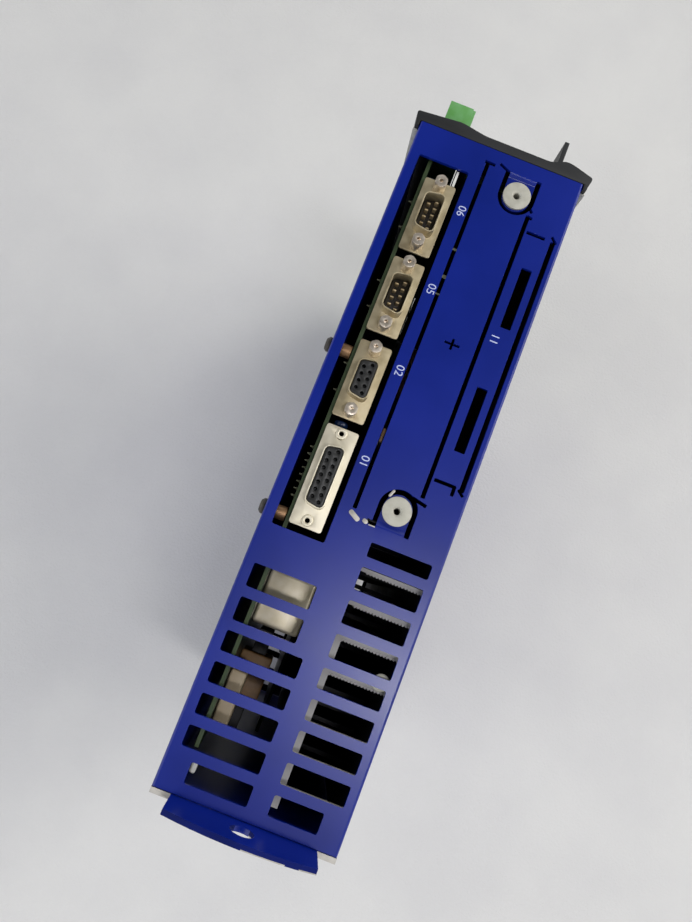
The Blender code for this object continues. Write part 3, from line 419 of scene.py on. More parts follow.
# Screen-printed ink sits slightly above the coat and is matt.
whiteInk = surface("screenPrintedWhiteInk", {
    "colours": ("A4ACCE", "B6BDD8"), "patch": 1, "grain": 0.3,
    "roughness": (0.6, 0.7)})
blueCeramic = surface("dippedBlueCeramic", {
    "colours": ("0A1C3A", "0E2448"), "patch": 2, "grain": 0.5, "relief": 0.02,
    "roughness": (0.25, 0.35)})
whiteNylon = surface("mouldedWhiteNylon", {
    "colours": ("D5D5CE", "DEDED8"), "patch": 3, "grain": 0.4,
    "roughness": (0.4, 0.5)})
paper = surface("palePaperFloor", {
    "colours": ("D0CFCD", "D5D4D1"), "patch": 60, "grain": 1.8, "relief": 0.5, "strength": 0.6,
    "roughness": (0.75, 0.85), "Specular IOR Level": 0.2})
print("materials ready")

# ---- camera and light ----

cameraValues = {"place": (13.44, -89.18, 422.4), "right": (-0.93049, -0.36217, 0.05501),
                "forward": (-0.00239, -0.14419, -0.98955), "lens": 30.87}
right = Vector(cameraValues["right"]).normalized()
forward = Vector(cameraValues["forward"]).normalized()
up = right.cross(forward).normalized()
lens = bpy.data.cameras.new("photoCamera")
lens.lens = cameraValues["lens"]
lens.sensor_width = 36
lens.clip_start = 0.01
viewer = bpy.data.objects.new("photoCamera", lens)
bpy.context.scene.collection.objects.link(viewer)
turned = Matrix((right, up, -forward)).transposed().to_4x4()
viewer.matrix_world = Matrix.Translation(Vector(cameraValues["place"]) * mm) @ turned
bpy.context.scene.camera = viewer

lampValues = {
    "windowLight": {"place": (-1000, -620, 1050), "size": (900, 900), "turn": None,
                    "power": 11, "tint": "FFFDF8"},
    "ceilingLight": {"place": (-280, 62, 1450), "size": (320, 110), "turn": -12,
                     "power": 5.2, "tint": "FBFAFF"},
    "fillLight": {"place": (700, 500, 900), "size": (1000, 1000), "turn": None,
                  "power": 5, "tint": "F4F7FF"},
}
for name, values in lampValues.items():
    lamp = bpy.data.lights.new(name, "AREA")
    lamp.energy = values["power"]
    lamp.shape = "RECTANGLE"
    lamp.size, lamp.size_y = (length * mm for length in values["size"])
    lamp.color = linear(values["tint"])[:3]
    holder = bpy.data.objects.new(name, lamp)
    bpy.context.scene.collection.objects.link(holder)
    holder.location = Vector(values["place"]) * mm
    if values["turn"] is None:
        aim = Vector((0, -120 * mm, 0)) - holder.location
        holder.rotation_euler = aim.to_track_quat("-Z", "Y").to_euler()
    else:
        holder.rotation_euler = (0, 0, math.radians(values["turn"]))
world = bpy.data.worlds.new("softRoom")
world.use_nodes = True
# walls and windows around are brighter than the ceiling straight above
roomValues = {"walls": 2.15, "ceiling": 0.03}
sky = world.node_tree
backdrop = sky.nodes["Background"]
backdrop.inputs["Color"].default_value = linear("F2F4F8")
direction = addNode(sky, "ShaderNodeTexCoord").outputs["Generated"]
height = addNode(sky, "ShaderNodeSeparateXYZ", None, {"Vector": direction}).outputs["Z"]
glow = addNode(sky, "ShaderNodeMapRange", {"From Min": 0.0, "From Max": 0.85, "To Min": roomValues["walls"],
                                           "To Max": roomValues["ceiling"]}, {"Value": height})
sky.links.new(glow.outputs["Result"], backdrop.inputs["Strength"])
bpy.context.scene.world = world
bpy.context.scene.view_settings.view_transform = "Standard"

deselect()
bpy.ops.mesh.primitive_plane_add(size=6, location=(0, 0, cadBounds[0][2] - 0.2 * mm))
floor = bpy.context.object
floor.name = "paleFloor"
settle(floor)
paint(floor, paper)
print("camera, lights and floor ready")

# ---- folded housing ----

housing = {
    # lengths and places in mm, and a cutter is (side, front, width, length) with a hook's turn after them
    "depth": 266.0, "sheet": 1.5, "bend": 1.0, "lip": 15.0, "edge": 0.22, "corner": 0.8,
    "slitCorner": 0.3, "guideCorner": 0.35, "crossCorner": 0.2, "screwHole": 1.8, "reach": 4,
    "air": {"rear": 6.6, "long": 7.5, "pitch": 11.4, "bridge": 3.8,
            "middle": 8.7, "middlePitch": 12.6, "short": 5.5},
    "bay": (4.4, 13.0, 20.3, 153.0),
    "columns": {"plus": (4.2, 32.8), "plusShort": (4.2, 28.2), "plusLast": (9.8, 32.8),
                "minus": (40.5, 64.2), "minusLast": (40.5, 58.7)},
    "coverSlits": ((29.5, 6.5, 1.6, 143.7), (51.2, 20.6, 1.7, 117.2)),
    "guides": ((53.6, 26.3, 7.6, 1.4), (53.7, 129.0, 8.5, 1.4), (56.7, 41.0, 4.2, 25.3),
               (56.7, 91.0, 4.2, 26.0), (63.6, 27.0, 2.0, 103.6)),
    "hooks": ((29.0, 5.3, 4.2, 1.4, 2), (34.6, 5.1, 5.2, 1.2, 24), (51.0, 17.6, 2.4, 1.2, 50),
              (51.6, 20.4, 2.3, 1.4, 10), (48.6, 138.9, 6.0, 1.4, 12),
              (36.0, 151.9, 3.8, 1.7, 6), (61.0, 129.3, 1.4, 3.9, 0),
              (62.9, 25.6, 3.4, 1.2, 45), (62.9, 130.4, 3.2, 1.2, 40)),
    "tongue": {"side": 45.2, "radius": 5.5, "slit": 1.85, "bush": 4.2, "drop": 1.2, "step": 2.2},
    "tongues": ((15.1, 14.5, 1, 9.2), (144.9, 145.7, -1, 8.8)),
    "cross": (42.2, 79.5, 6.0, 4.5, 1.0),
    "litEdgeRows": (215.0, 250.0),
}


def slotCutter(side, front, width, length, radius):
    reach = housing["reach"] * mm
    low = (sideX(side + width), frontY(front), top - reach)
    high = (sideX(side), frontY(front + length), top + reach)
    piece = addBox(low, high)
    if radius:
        bevelEdges(piece, upright, radius, 4)
    return piece


def tongueCutter(values, front, facing, leg):
    # a square section spun half round the tongue's end, then drawn out along both legs
    centre = Vector((sideX(values["side"]), frontY(front), top))
    inner = values["radius"] * mm
    outer = inner + values["slit"] * mm
    reach = housing["reach"] * mm
    piece = addBox((centre.x + inner, centre.y - 0.01 * mm, top - reach),
                   (centre.x + outer, centre.y, top + reach))
    openMesh(piece)
    bpy.ops.mesh.delete(type="ONLY_FACE")
    cage = bmesh.from_edit_mesh(piece.data)
    for vertex in cage.verts:
        vertex.select = vertex.co.y > centre.y - 0.005 * mm
    cage.select_flush(True)
    loose = [vertex for vertex in cage.verts if not vertex.select]
    bmesh.ops.delete(cage, geom=loose, context="VERTS")
    bmesh.update_edit_mesh(piece.data)
    bpy.ops.mesh.select_all(action="SELECT")
    bpy.ops.mesh.extrude_region_move(TRANSFORM_OT_translate={"value": (0, -facing * leg * mm, 0)})
    bpy.ops.mesh.select_all(action="DESELECT")
    cage = bmesh.from_edit_mesh(piece.data)
    for edge in cage.edges:
        edge.select = all(abs(vertex.co.y - centre.y) < 0.005 * mm for vertex in edge.verts)
    bmesh.update_edit_mesh(piece.data)
    bpy.ops.mesh.spin(steps=20, angle=-facing * math.pi, center=centre, axis=(0, 0, 1))
    bpy.ops.mesh.extrude_region_move(TRANSFORM_OT_translate={"value": (0, -facing * leg * mm, 0)})
    bpy.ops.mesh.select_all(action="SELECT")
    bpy.ops.mesh.remove_doubles(threshold=0.002 * mm)
    bpy.ops.mesh.fill_holes(sides=8)
    bpy.ops.mesh.normals_make_consistent(inside=False)
    closeMesh()
    return piece


def airRows():
    # (front, length, column) of each air slot, counted from the rear
    air = housing["air"]
    rows = []
    front = housing["depth"] - air["rear"] - air["long"]
    for row in range(5):
        rows.append((front, air["long"], "plusLast" if row == 0 else "plus"))
        rows.append((front, air["long"], "minusLast" if row == 0 else "minus"))
        front -= air["pitch"]
    front += air["pitch"] - air["bridge"] - air["middle"]
    for row in range(3):
        if row < 2:
            rows.append((front, air["middle"], "plusShort"))
        rows.append((front, air["middle"], "minus"))
        front -= air["middlePitch"]
    rows.append((front + air["middlePitch"] - air["bridge"] - air["short"], air["short"], "minus"))
    return rows


def buildHousing():
    values = housing
    side = shellHigh.x
    piece = addBox((-side, shellLow.y, bottom), (side, shellHigh.y, top))
    pick(piece)
    bpy.ops.object.mode_set(mode="EDIT")
    bpy.ops.mesh.select_mode(type="FACE")
    bpy.ops.mesh.select_all(action="DESELECT")
    cage = bmesh.from_edit_mesh(piece.data)
    for face in cage.faces:
        face.select = abs(face.normal.y) > 0.9
    bmesh.update_edit_mesh(piece.data)
    bpy.ops.mesh.delete(type="FACE")
    closeMesh()
    along = lambda a, b: abs(a.x - b.x) + abs(a.z - b.z) < 0.01 * mm
    bevelEdges(piece, along, values["bend"], 6)
    pick(piece)
    wall = piece.modifiers.new("wall", "SOLIDIFY")
    wall.thickness = values["sheet"] * mm
    wall.offset = -1
    wall.use_even_offset = True
    bpy.ops.object.modifier_apply(modifier="wall")
    lip = top - values["lip"] * mm
    combine(piece, addBox((side - 4 * mm, shellLow.y - mm, -lip), (side + mm, shellHigh.y + mm, lip)))

    straight = [slotCutter(*values["bay"], values["corner"])]
    airSlots = []
    for front, length, column in airRows():
        start, end = values["columns"][column]
        airSlots.append(slotCutter(start, front, end - start, length, values["corner"]))
    for slit in values["coverSlits"]:
        straight.append(slotCutter(*slit, values["slitCorner"]))
    for guide in values["guides"]:
        straight.append(slotCutter(*guide, values["guideCorner"]))
    lower = joined(airSlots)
    copy = lower.copy()
    copy.data = lower.data.copy()
    bpy.context.scene.collection.objects.link(copy)
    copy.location.z = bottom - top
    settle(copy)
    combine(piece, joined(straight + [lower]))
    combine(piece, copy)
    cutters = []
    for front, bushFront, facing, leg in values["tongues"]:
        cutters.append(tongueCutter(values["tongue"], front, facing, leg))
        place = (sideX(values["tongue"]["side"]), frontY(bushFront), top)
        cutters.append(addRound(place, values["tongue"]["bush"] * mm, 8 * mm, "Z", 40))
    combine(piece, joined(cutters))
    hooks = []
    for hookSide, front, width, length, angle in values["hooks"]:
        hook = slotCutter(hookSide, front, width, length, values["slitCorner"])
        middle = Vector((sideX(hookSide + width / 2), frontY(front + length / 2), 0))
        turn = Matrix.Rotation(-math.radians(angle), 4, "Z")
        hook.data.transform(Matrix.Translation(middle) @ turn @ Matrix.Translation(-middle))
        hooks.append(hook)
    for hook in hooks:
        combine(piece, hook)
    crossSide, crossFront, long, wide, arm = values["cross"]
    for width, length in ((long, arm), (arm, wide)):
        combine(piece, slotCutter(crossSide - width / 2, crossFront - length / 2, width, length,
                                  values["crossCorner"]))
    bendTongues(piece)
    screwHoles = []
    for node in ("upper_side_screw_1", "upper_side_screw_2", "lower_side_screw_1", "lower_side_screw_2"):
        low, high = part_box(node)
        middle = (low + high) / 2
        screwHoles.append(addRound((side, middle.y, middle.z), values["screwHole"] * mm, 8 * mm, "X", 20))
    combine(piece, joined(screwHoles))
    roundEdges(piece, values["edge"], 2, 50)
    soften(piece, 35, weighted=True)
    paint(piece, blueCoat, bareEdgeAndGlint, liningFilm)
    inner = top - values["sheet"] * mm
    first, last = (frontY(front) for front in values["litEdgeRows"])
    for face in piece.data.polygons:
        normal, centre = face.normal, face.center
        level = abs(centre.z)
        facesIn = normal.z * centre.z < 0 if abs(normal.z) > 0.5 else normal.x * centre.x < 0
        if level < inner + 0.1 * mm and facesIn and abs(normal.y) < 0.5:
            face.material_index = 2
        # the rear cut edges of these air slots are painted bare metal as a painted highlight: only these, on
        # the side the light catches, while the other cut edges keep the coat
        if normal.y < -0.8 and inner < level < top and first < centre.y < last and centre.x < 0:
            face.material_index = 1
    return keep(piece, "foldedHousing", "drive", "sheet_enamel", "housing_shell")


def bendTongues(piece):
    # each tongue steps down past its root, so it needs edges across it there
    values = housing["tongue"]
    centre = sideX(values["side"])
    reach = (values["radius"] + 0.1) * mm
    pick(piece)
    for front, _, facing, leg in housing["tongues"]:
        root = frontY(front) - facing * (leg - 0.2) * mm
        for step in range(5):
            bpy.ops.object.mode_set(mode="EDIT")
            bpy.ops.mesh.select_all(action="DESELECT")
            cage = bmesh.from_edit_mesh(piece.data)
            for face in cage.faces:
                face.select = face.calc_center_median().z > top - 3 * mm
            bmesh.update_edit_mesh(piece.data)
            bpy.ops.mesh.bisect(plane_co=(0, root + facing * values["step"] * mm * step / 4, 0),
                                plane_no=(0, 1, 0))
            closeMesh()
        for vertex in piece.data.vertices:
            along = (vertex.co.y - root) * facing
            past = max(0, (vertex.co.y - frontY(front)) * facing)
            inside = math.hypot(vertex.co.x - centre, past) < reach and vertex.co.z > top - 2 * mm
            if inside and 0 < along:
                share = min(1, along / (values["step"] * mm))
                vertex.co.z -= values["drop"] * mm * share * share * (3 - 2 * share)


buildHousing()
print("housing ready")

# ---- plates ----

polish("side_cover", blueCoat, 0.3)
plate = cleanCopy("back_plate")
plateLow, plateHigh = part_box("back_plate")
flange = {"edge": 0.2, "glintSpans": ((35.0, 50.0), (54.8, 60.7)), "glintStrip": 0.4, "ears": 26.5, "rise": 6}
cuts = [((sideX(side), 0, 0), (1, 0, 0)) for pair in flange["glintSpans"] for side in pair]
cuts.append(((0, plateHigh.y - flange["glintStrip"] * mm, 0), (0, 1, 0)))
for place, across in cuts:
    openMesh(plate)
    bpy.ops.mesh.bisect(plane_co=place, plane_no=across)
    closeMesh()
roundEdges(plate, flange["edge"], 2, 50)
soften(plate, 35, weighted=True)
paint(plate, blueCoat, bareEdgeAndGlint, shadedEdgeCoat)
for face in plate.data.polygons:
    x, y, level = face.center.x, face.center.y, abs(face.center.z)
    if face.normal.z * face.center.z > 0 and abs(face.normal.z) > 0.4:
        # sheared ends of the ears stay bare; two stretches along the rear corner of the flange's top edge
        # get painted glints of bare metal, and the rest of that edge gets painted shade
        if level < top + mm and abs(x) > flange["ears"] * mm:
            face.material_index = 1
        elif level > top + flange["rise"] * mm:
            glinted = y > plateHigh.y - flange["glintStrip"] * mm and any(
                sideX(end) < x < sideX(start) for start, end in flange["glintSpans"])
            face.material_index = 1 if glinted else 2
keep(plate, "backPlate", "drive", "sheet_enamel", "back_plate")
print("plates ready")

# ---- printed numerals beside the ports ----

numerals = {"size": 4.4, "ink": 0.01, "lift": 0.012,
            "marks": (("06", 27.2, 28.8), ("05", 27.3, 62.4), ("02", 27.3, 96.4), ("01", 27.4, 132.9),
                      ("11", 56.3, 71.6))}
marks = []
for text, side, middle in numerals["marks"]:
    deselect()
    bpy.ops.object.text_add()
    mark = bpy.context.object
    mark.data.body = text
    mark.data.size = numerals["size"] * mm
    mark.data.align_x = "CENTER"
    mark.data.align_y = "CENTER"
    mark.data.extrude = numerals["ink"] * mm
    bpy.ops.object.convert(target="MESH")
    mark = bpy.context.object
    mark.rotation_euler = (0, 0, math.pi / 2)
    mark.location = (sideX(side), frontY(middle), top + numerals["lift"] * mm)
    settle(mark)
    marks.append(mark)
marks = joined(marks)
paint(marks, whiteInk)
keep(marks, "printedNumerals", "drive", "sheet_enamel")
print("numerals ready")

# ---- D-shaped ports ----

ports = {
    "port_1": {"contacts": 9, "pins": True}, "port_2": {"contacts": 9, "pins": True},
    "port_3": {"contacts": 9, "pins": False}, "port_4": {"contacts": 15, "pins": False},
}
contact = {"pitch": 2.77, "row": 1.42, "blade": (1.4, 0.62), "pinHeight": 3.4, "hole": 0.75}
dimpleValues = {"radius": 0.6, "side": 3.9, "pitch": 4, "height": 3.2, "flat": 0.45}
tailValues = {"depth": 3.4, "out": 0.7, "wire": 0.32, "long": 1.5,
              "coneOut": 0.3, "cone": 0.9, "coneTip": 0.35}
insertValues = {"spread": 17.1, "shift": 0.3, "radius": 2.2, "height": 1.1, "bore": 0.9}
postValues = {"flats": 2.65, "crown": 2.5, "chamfer": 1.6, "bore": 0.75}
boardLow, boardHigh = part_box("main_board")


def contactPlaces(node, count):
    low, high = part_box(node + "_shell")
    middle = (low + high) / 2
    long = (count + 1) // 2
    places = []
    for row, number in ((-1, long), (1, long - 1)):
        for index in range(number):
            y = middle.y + (index - (number - 1) / 2) * contact["pitch"] * mm
            places.append((middle.x + row * contact["row"] * mm, y))
    return places


def buildPort(node, values):
    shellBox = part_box(node + "_shell")
    middle = (shellBox[0] + shellBox[1]) / 2
    face = shellBox[0].z + 1.0 * mm
    shell = cleanCopy(node + "_shell")
    roundEdges(shell, 0.3, 3, 50)
    dimples = []
    if values["pins"]:
        for step in (-1, 0, 1):
            for sign in (-1, 1):
                deselect()
                place = (middle.x + sign * dimpleValues["side"] * mm,
                         middle.y + step * dimpleValues["pitch"] * mm, face + dimpleValues["height"] * mm)
                bpy.ops.mesh.primitive_uv_sphere_add(segments=16, ring_count=8,
                                                     radius=dimpleValues["radius"] * mm, location=place)
                dimple = bpy.context.object
                dimple.scale = (dimpleValues["flat"], 1, 1)
                settle(dimple)
                dimples.append(dimple)
    shell = joined([shell] + dimples)
    finish = tinPlate if node == "port_4" else yellowNickel
    complete(shell, finish, 40, node + "DrawnShell", "drive", "plated_shell", node + "_shell")

    insulator = cleanCopy(node + "_insulator")
    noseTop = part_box(node + "_insulator")[1].z
    places = contactPlaces(node, values["contacts"])
    if not values["pins"]:
        holes = [addRound((x, y, noseTop), contact["hole"] * mm, 9 * mm, "Z", 14) for x, y in places]
        combine(insulator, joined(holes))
    roundEdges(insulator, 0.15, 2, 50)
    soften(insulator, 40)
    paint(insulator, blackPbt if values["pins"] else greyPbt)
    slot = slotOf[node + "_insulator"]
    keep(insulator, node + "Insulator", "drive", slot, node + "_insulator")

    contacts = []
    for x, y in places:
        if values["pins"]:
            height = contact["pinHeight"] * mm
            wide, thin = contact["blade"]
            pin = addBox((x - wide / 2 * mm, y - thin / 2 * mm, noseTop - 0.5 * mm),
                         (x + wide / 2 * mm, y + thin / 2 * mm, noseTop - 0.5 * mm + height))
            roundEdges(pin, 0.22, 3, 50)
        else:
            pin = addRound((x, y, noseTop - 3.6 * mm), (contact["hole"] - 0.1) * mm, 1.0 * mm, "Z", 12)
        contacts.append(pin)
    # socket contacts are painted the dark ferrite grey in place of their metal: painted shade deep in their
    # holes
    finish = goldFlash if values["pins"] else ferrite
    complete(joined(contacts), finish, 50, node + "Contacts", "drive", "screw_steel")

    # tails soldered through the board, seen in the gap beside it
    tails = []
    level = shellBox[0].z - tailValues["depth"] * mm
    for index, (x, y) in enumerate(places):
        # only the near row comes through beside the board, and the small ports bend most of theirs under it
        if x > middle.x or (node != "port_4" and index % 4):
            continue
        tails.append(addRound((boardHigh.x + tailValues["out"] * mm, y, level), tailValues["wire"] * mm,
                              tailValues["long"] * mm, "X", 10))
        tails.append(addRound((boardHigh.x + tailValues["coneOut"] * mm, y, level), tailValues["cone"] * mm,
                              0.7 * mm, "X", 12, tailValues["coneTip"] * mm))
    complete(joined(tails), dullSolder, 50, node + "SolderedTails", "drive", "screw_steel")

    for end in ("front", "rear"):
        name = f"{node}_{end}_post"
        if name in frame["nodes"]:
            buildPost(name, face)
    if node == "port_4":
        for sign in (-1, 1):
            offset = sign * insertValues["spread"] - insertValues["shift"]
            place = (middle.x, middle.y + offset * mm, face + 0.1 * mm)
            insert = addRound(place, insertValues["radius"] * mm, insertValues["height"] * mm, "Z", 32)
            combine(insert, addRound(place, insertValues["bore"] * mm, 6 * mm, "Z", 24))
            roundEdges(insert, 0.4, 3, 50)
            name = f"{node}ThreadedInsert{'Front' if sign < 0 else 'Rear'}"
            complete(insert, tinPlate, 32, name, "drive", "screw_steel")


def buildPost(node, face):
    low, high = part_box(node)
    middle = (low + high) / 2
    height = high.z - face
    post = addRound((middle.x, middle.y, face + height / 2), postValues["flats"] * mm, height, "Z", 6)
    crown = addRound((middle.x, middle.y, face + height / 2), postValues["crown"] * mm,
                     height + 2 * mm, "Z", 40)
    roundEdges(crown, postValues["chamfer"], 6, 50)
    combine(post, crown, "INTERSECT")
    combine(post, addRound((middle.x, middle.y, high.z), postValues["bore"] * mm, 5 * mm, "Z", 20))
    roundEdges(post, 0.2, 3, 30)
    complete(post, warmNickel, 50, node + "Turned", "drive", "screw_steel", node)


for node, values in ports.items():
    buildPort(node, values)
print("ports ready")

# ---- threaded bushes, side screws, standoffs ----

bushValues = {"collar": 5.45, "height": 1.3, "barrel": 3.0, "long": 4.6, "bore": 1.25, "mouth": 2.1}
for node, (_, bushFront, _, _) in zip(("option_bush_front", "option_bush_rear"), housing["tongues"]):
    place = Vector((sideX(housing["tongue"]["side"]), frontY(bushFront), top))
    seat = top - housing["tongue"]["drop"] * mm
    bush = addRound((place.x, place.y, seat + 0.7 * mm), bushValues["collar"] * mm,
                    bushValues["height"] * mm, "Z", 64)
    barrel = addRound((place.x, place.y, seat - 2.2 * mm), bushValues["barrel"] * mm,
                      bushValues["long"] * mm, "Z", 40)
    combine(bush, barrel, "UNION")
    combine(bush, addRound((place.x, place.y, seat), bushValues["bore"] * mm, 14 * mm, "Z", 32))
    combine(bush, addRound((place.x, place.y, seat + mm), mm, mm, "Z", 32, bushValues["mouth"] * mm))
    roundEdges(bush, 0.22, 3, 35)
    complete(bush, dullZinc, 32, node + "Turned", "drive", "bush_metal", node)

crossRecess = {"long": 3.2, "wide": 0.7, "deep": 1.2}
for row in ("1", "2"):
    for level in ("upper", "lower"):
        node = f"{level}_side_screw_{row}"
        screw = cleanCopy(node)
        low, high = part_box(node)
        middle = (low + high) / 2
        arms = (crossRecess["long"], crossRecess["wide"])
        for sizeY, sizeZ in (arms, arms[::-1]):
            combine(screw, addBox((high.x - crossRecess["deep"] * mm, middle.y - sizeY / 2 * mm,
                                   middle.z - sizeZ / 2 * mm),
                                  (high.x + mm, middle.y + sizeY / 2 * mm, middle.z + sizeZ / 2 * mm)))
        roundEdges(screw, 0.12, 2, 40)
        complete(screw, shadedScrewSteel, 32, f"{level}PanScrew{row}", "drive", "screw_steel", node)
        polish(f"{level}_standoff_{row}", turnedBrass, 0.15)
print("fixings ready")

# ---- boards and the parts seen through the slots ----

for node in ("main_board", "panel_board", "power_board"):
    board = cleanCopy(node)
    roundEdges(board, 0.08, 1, 50)
    paint(board, boardMask, boardEdge)
    thin = 1 if node == "panel_board" else 0
    for face in board.data.polygons:
        if abs(face.normal[thin]) < 0.5:
            face.material_index = 1
    keep(board, node + "Laminate", "drive", slotOf[node], node)


sinkValues = {"fins": 5, "first": 157.5, "pitch": 12.7, "teeth": 18, "start": 43.6, "step": 1.25,
              "tooth": 0.62, "deep": 14.0, "bright": 8.0}


def buildSink():
    # saw-toothed faces on the tall fins, and bare metal where the extrusion was cut, but only near the top:
    # lower cut faces are left black as painted shade
    sink = cleanCopy("heat_sink")
    low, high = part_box("heat_sink")
    teeth = []
    for fin in range(sinkValues["fins"]):
        rear = frontY(sinkValues["first"] + fin * sinkValues["pitch"])
        for tooth in range(sinkValues["teeth"]):
            side = sinkValues["start"] + tooth * sinkValues["step"]
            place = (sideX(side), rear, high.z - sinkValues["deep"] / 2 * mm)
            teeth.append(addRound(place, sinkValues["tooth"] * mm, sinkValues["deep"] * mm, "Z", 4))
    sink = joined([sink] + teeth)
    paint(sink, blackAnodised, dieAluminium)
    for face in sink.data.polygons:
        # cut faces lower than this depth stay black anodised: painted shade
        if face.normal.z > 0.9 and face.center.z > high.z - sinkValues["bright"] * mm:
            face.material_index = 1
    keep(sink, "sawToothSink", "drive", slotOf["heat_sink"], "heat_sink")


polish("filter_block", filterCan, 1.2, 4)
polish("film_capacitor", creamResin, 0.9, 4)
polish("transformer_core", ferrite, 0.4)
polish("transformer_coil", windingTape, 0.9, 3)
polish("relay", blackAbs, 0.5)
buildSink()
polish("power_module", blackAbs, 0.4)
polish("line_choke", windingTape, 2.5, 4)
polish("fan_frame", blackAbs, 0.3, 1)
polish("fan_rotor", blackAbs, 0.2, 1)
polish("display_module", blackAbs, 0.3)
for index in (1, 2, 3):
    polish(f"bus_capacitor_{index}", canSleeve, 1.2, 3)
print("inner parts ready")

# ---- front bezel ----

bezel = {
    "edge": 0.45, "proud": 0.575, "window": {"frame": 2.2, "deep": 0.42, "corner": 1.2},
    "keyPad": {"side": 0.6, "end": 1.2, "deep": 0.35, "corner": 1.5},
    "label": {"below": 22, "half": 10, "tall": 34, "deep": 0.4, "corner": 1.0},
    "lamps": {"count": 3, "radius": 1.1, "gap": 0.15, "pitch": 6, "below": 9},
    "grooves": {"levels": (38.0, -52.0), "half": 0.25, "deep": 0.4},
}
bezelLow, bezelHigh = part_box("front_bezel")
windowLow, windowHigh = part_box("display_window")
flatY = windowLow.y - bezel["proud"] * mm


def faceCutter(lowX, lowZ, highX, highZ, values):
    # a shallow pocket in the front face, with its four corners rounded
    piece = addBox((lowX, flatY - mm, lowZ), (highX, flatY + values["deep"] * mm, highZ))
    bevelEdges(piece, lambda a, b: abs(a.y - b.y) > mm, values["corner"], 4)
    return piece


front = cleanCopy("front_bezel")
frameWidth = bezel["window"]["frame"] * mm
recess = faceCutter(windowLow.x - frameWidth, windowLow.z - frameWidth,
                    windowHigh.x + frameWidth, windowHigh.z + frameWidth, bezel["window"])
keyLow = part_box("key_enter")[0]
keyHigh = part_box("key_up")[1]
pad = bezel["keyPad"]
keyPad = faceCutter(keyLow.x - pad["side"] * mm, keyLow.z - pad["end"] * mm,
                    keyHigh.x + pad["side"] * mm, keyHigh.z + pad["end"] * mm, pad)
centreX = (windowLow.x + windowHigh.x) / 2
sticker = bezel["label"]
labelTop = keyLow.z - sticker["below"] * mm
label = faceCutter(centreX - sticker["half"] * mm, labelTop - sticker["tall"] * mm,
                   centreX + sticker["half"] * mm, labelTop, sticker)
lampHoles, lamps = [], []
guide = bezel["lamps"]
for index in range(guide["count"]):
    place = (centreX + (index - 1) * guide["pitch"] * mm, flatY, keyLow.z - guide["below"] * mm)
    lampHoles.append(addRound(place, (guide["radius"] + guide["gap"]) * mm, 12 * mm, "Y", 24))
    lamp = addRound((place[0], flatY + 0.9 * mm, place[2]), guide["radius"] * mm, 2.6 * mm, "Y", 24)
    bevelEdges(lamp, lambda a, b: a.y < flatY and b.y < flatY, 0.5, 4)
    lamps.append(lamp)
grooves = []
line = bezel["grooves"]
for z in line["levels"]:
    grooves.append(addBox((bezelLow.x - mm, bezelLow.y - 20 * mm, (z - line["half"]) * mm),
                          (bezelHigh.x + mm, flatY + line["deep"] * mm, (z + line["half"]) * mm)))
combine(front, recess)
combine(front, keyPad)
combine(front, label)
combine(front, joined(lampHoles))
for groove in grooves:
    combine(front, groove)
roundEdges(front, bezel["edge"], 3, 35)
complete(front, bezelAbs, 30, "mouldedBezel", "drive", "bezel_plastic", "front_bezel")
complete(joined(lamps), whiteNylon, 40, "statusLightGuides", "drive", "key_plastic")

polish("display_window", smokedPane, 0.4, 3)
digits = {"height": 8.0, "width": 4.2, "bar": 0.8, "pitch": 6.2, "slant": 8}
bars = []
for digit in range(3):
    centre = Vector((centreX + (digit - 1) * digits["pitch"] * mm, 0, (windowLow.z + windowHigh.z) / 2))
    wide = digits["width"] / 2
    tall = digits["height"] / 2
    for x, z, flat in ((0, tall, True), (0, 0, True), (0, -tall, True), (wide, tall / 2, False),
                       (wide, -tall / 2, False), (-wide, tall / 2, False), (-wide, -tall / 2, False)):
        long = (digits["width"] if flat else digits["height"] / 2) - digits["bar"] * 1.3
        sizeX, sizeZ = (long, digits["bar"]) if flat else (digits["bar"], long)
        barX, barZ = centre.x + x * mm, centre.z + z * mm
        halfX, halfZ = sizeX / 2 * mm, sizeZ / 2 * mm
        bar = addBox((barX - halfX, windowLow.y - 0.03 * mm, barZ - halfZ),
                     (barX + halfX, windowLow.y + 0.1 * mm, barZ + halfZ))
        bevelEdges(bar, lambda a, b: abs(a.y - b.y) > 0.05 * mm, 0.3, 1)
        for vertex in bar.data.vertices:
            vertex.co.x += (vertex.co.z - centre.z) * math.tan(math.radians(digits["slant"]))
        bars.append(bar)
bars = joined(bars)
paint(bars, milkySegment)
keep(bars, "displaySegments", "drive", "display_pane")

keyValues = {"edge": 0.5, "dish": 14, "deep": 0.4, "mark": 1.1}
for node in ("key_up", "key_down", "key_enter"):
    key = cleanCopy(node)
    low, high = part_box(node)
    middle = (low + high) / 2
    roundEdges(key, keyValues["edge"], 3, 40)
    deselect()
    away = (keyValues["dish"] - keyValues["deep"]) * mm
    bpy.ops.mesh.primitive_uv_sphere_add(segments=48, ring_count=24, radius=keyValues["dish"] * mm,
                                         location=(middle.x, low.y - away, middle.z))
    combine(key, bpy.context.object)
    complete(key, keyGrey, 35, node + "Cap", node, "key_plastic", node)
    # a small raised triangle or square tells the keys apart by touch
    turn = {"key_up": math.pi / 2, "key_down": -math.pi / 2, "key_enter": math.pi / 4}[node]
    corners = 4 if node == "key_enter" else 3
    sign = addRound((middle.x, low.y + 0.42 * mm, middle.z), keyValues["mark"] * mm, 0.5 * mm, "Y", corners)
    sign.data.transform(Matrix.Translation((middle.x, low.y, middle.z))
                        @ Matrix.Rotation(turn, 4, "Y") @ Matrix.Translation((-middle.x, -low.y, -middle.z)))
    roundEdges(sign, 0.1, 2, 30)
    complete(sign, blackAbs, 32, node + "Mark", node, "key_plastic")
print("bezel, display and keys ready")

# ---- plug-in terminals ----

terminals = {
    "signal": {"poles": 18, "pitch": 3.81}, "supply": {"poles": 4, "pitch": 5.08},
    "mains": {"poles": 4, "pitch": 7.62}, "motor": {"poles": 6, "pitch": 7.62},
}


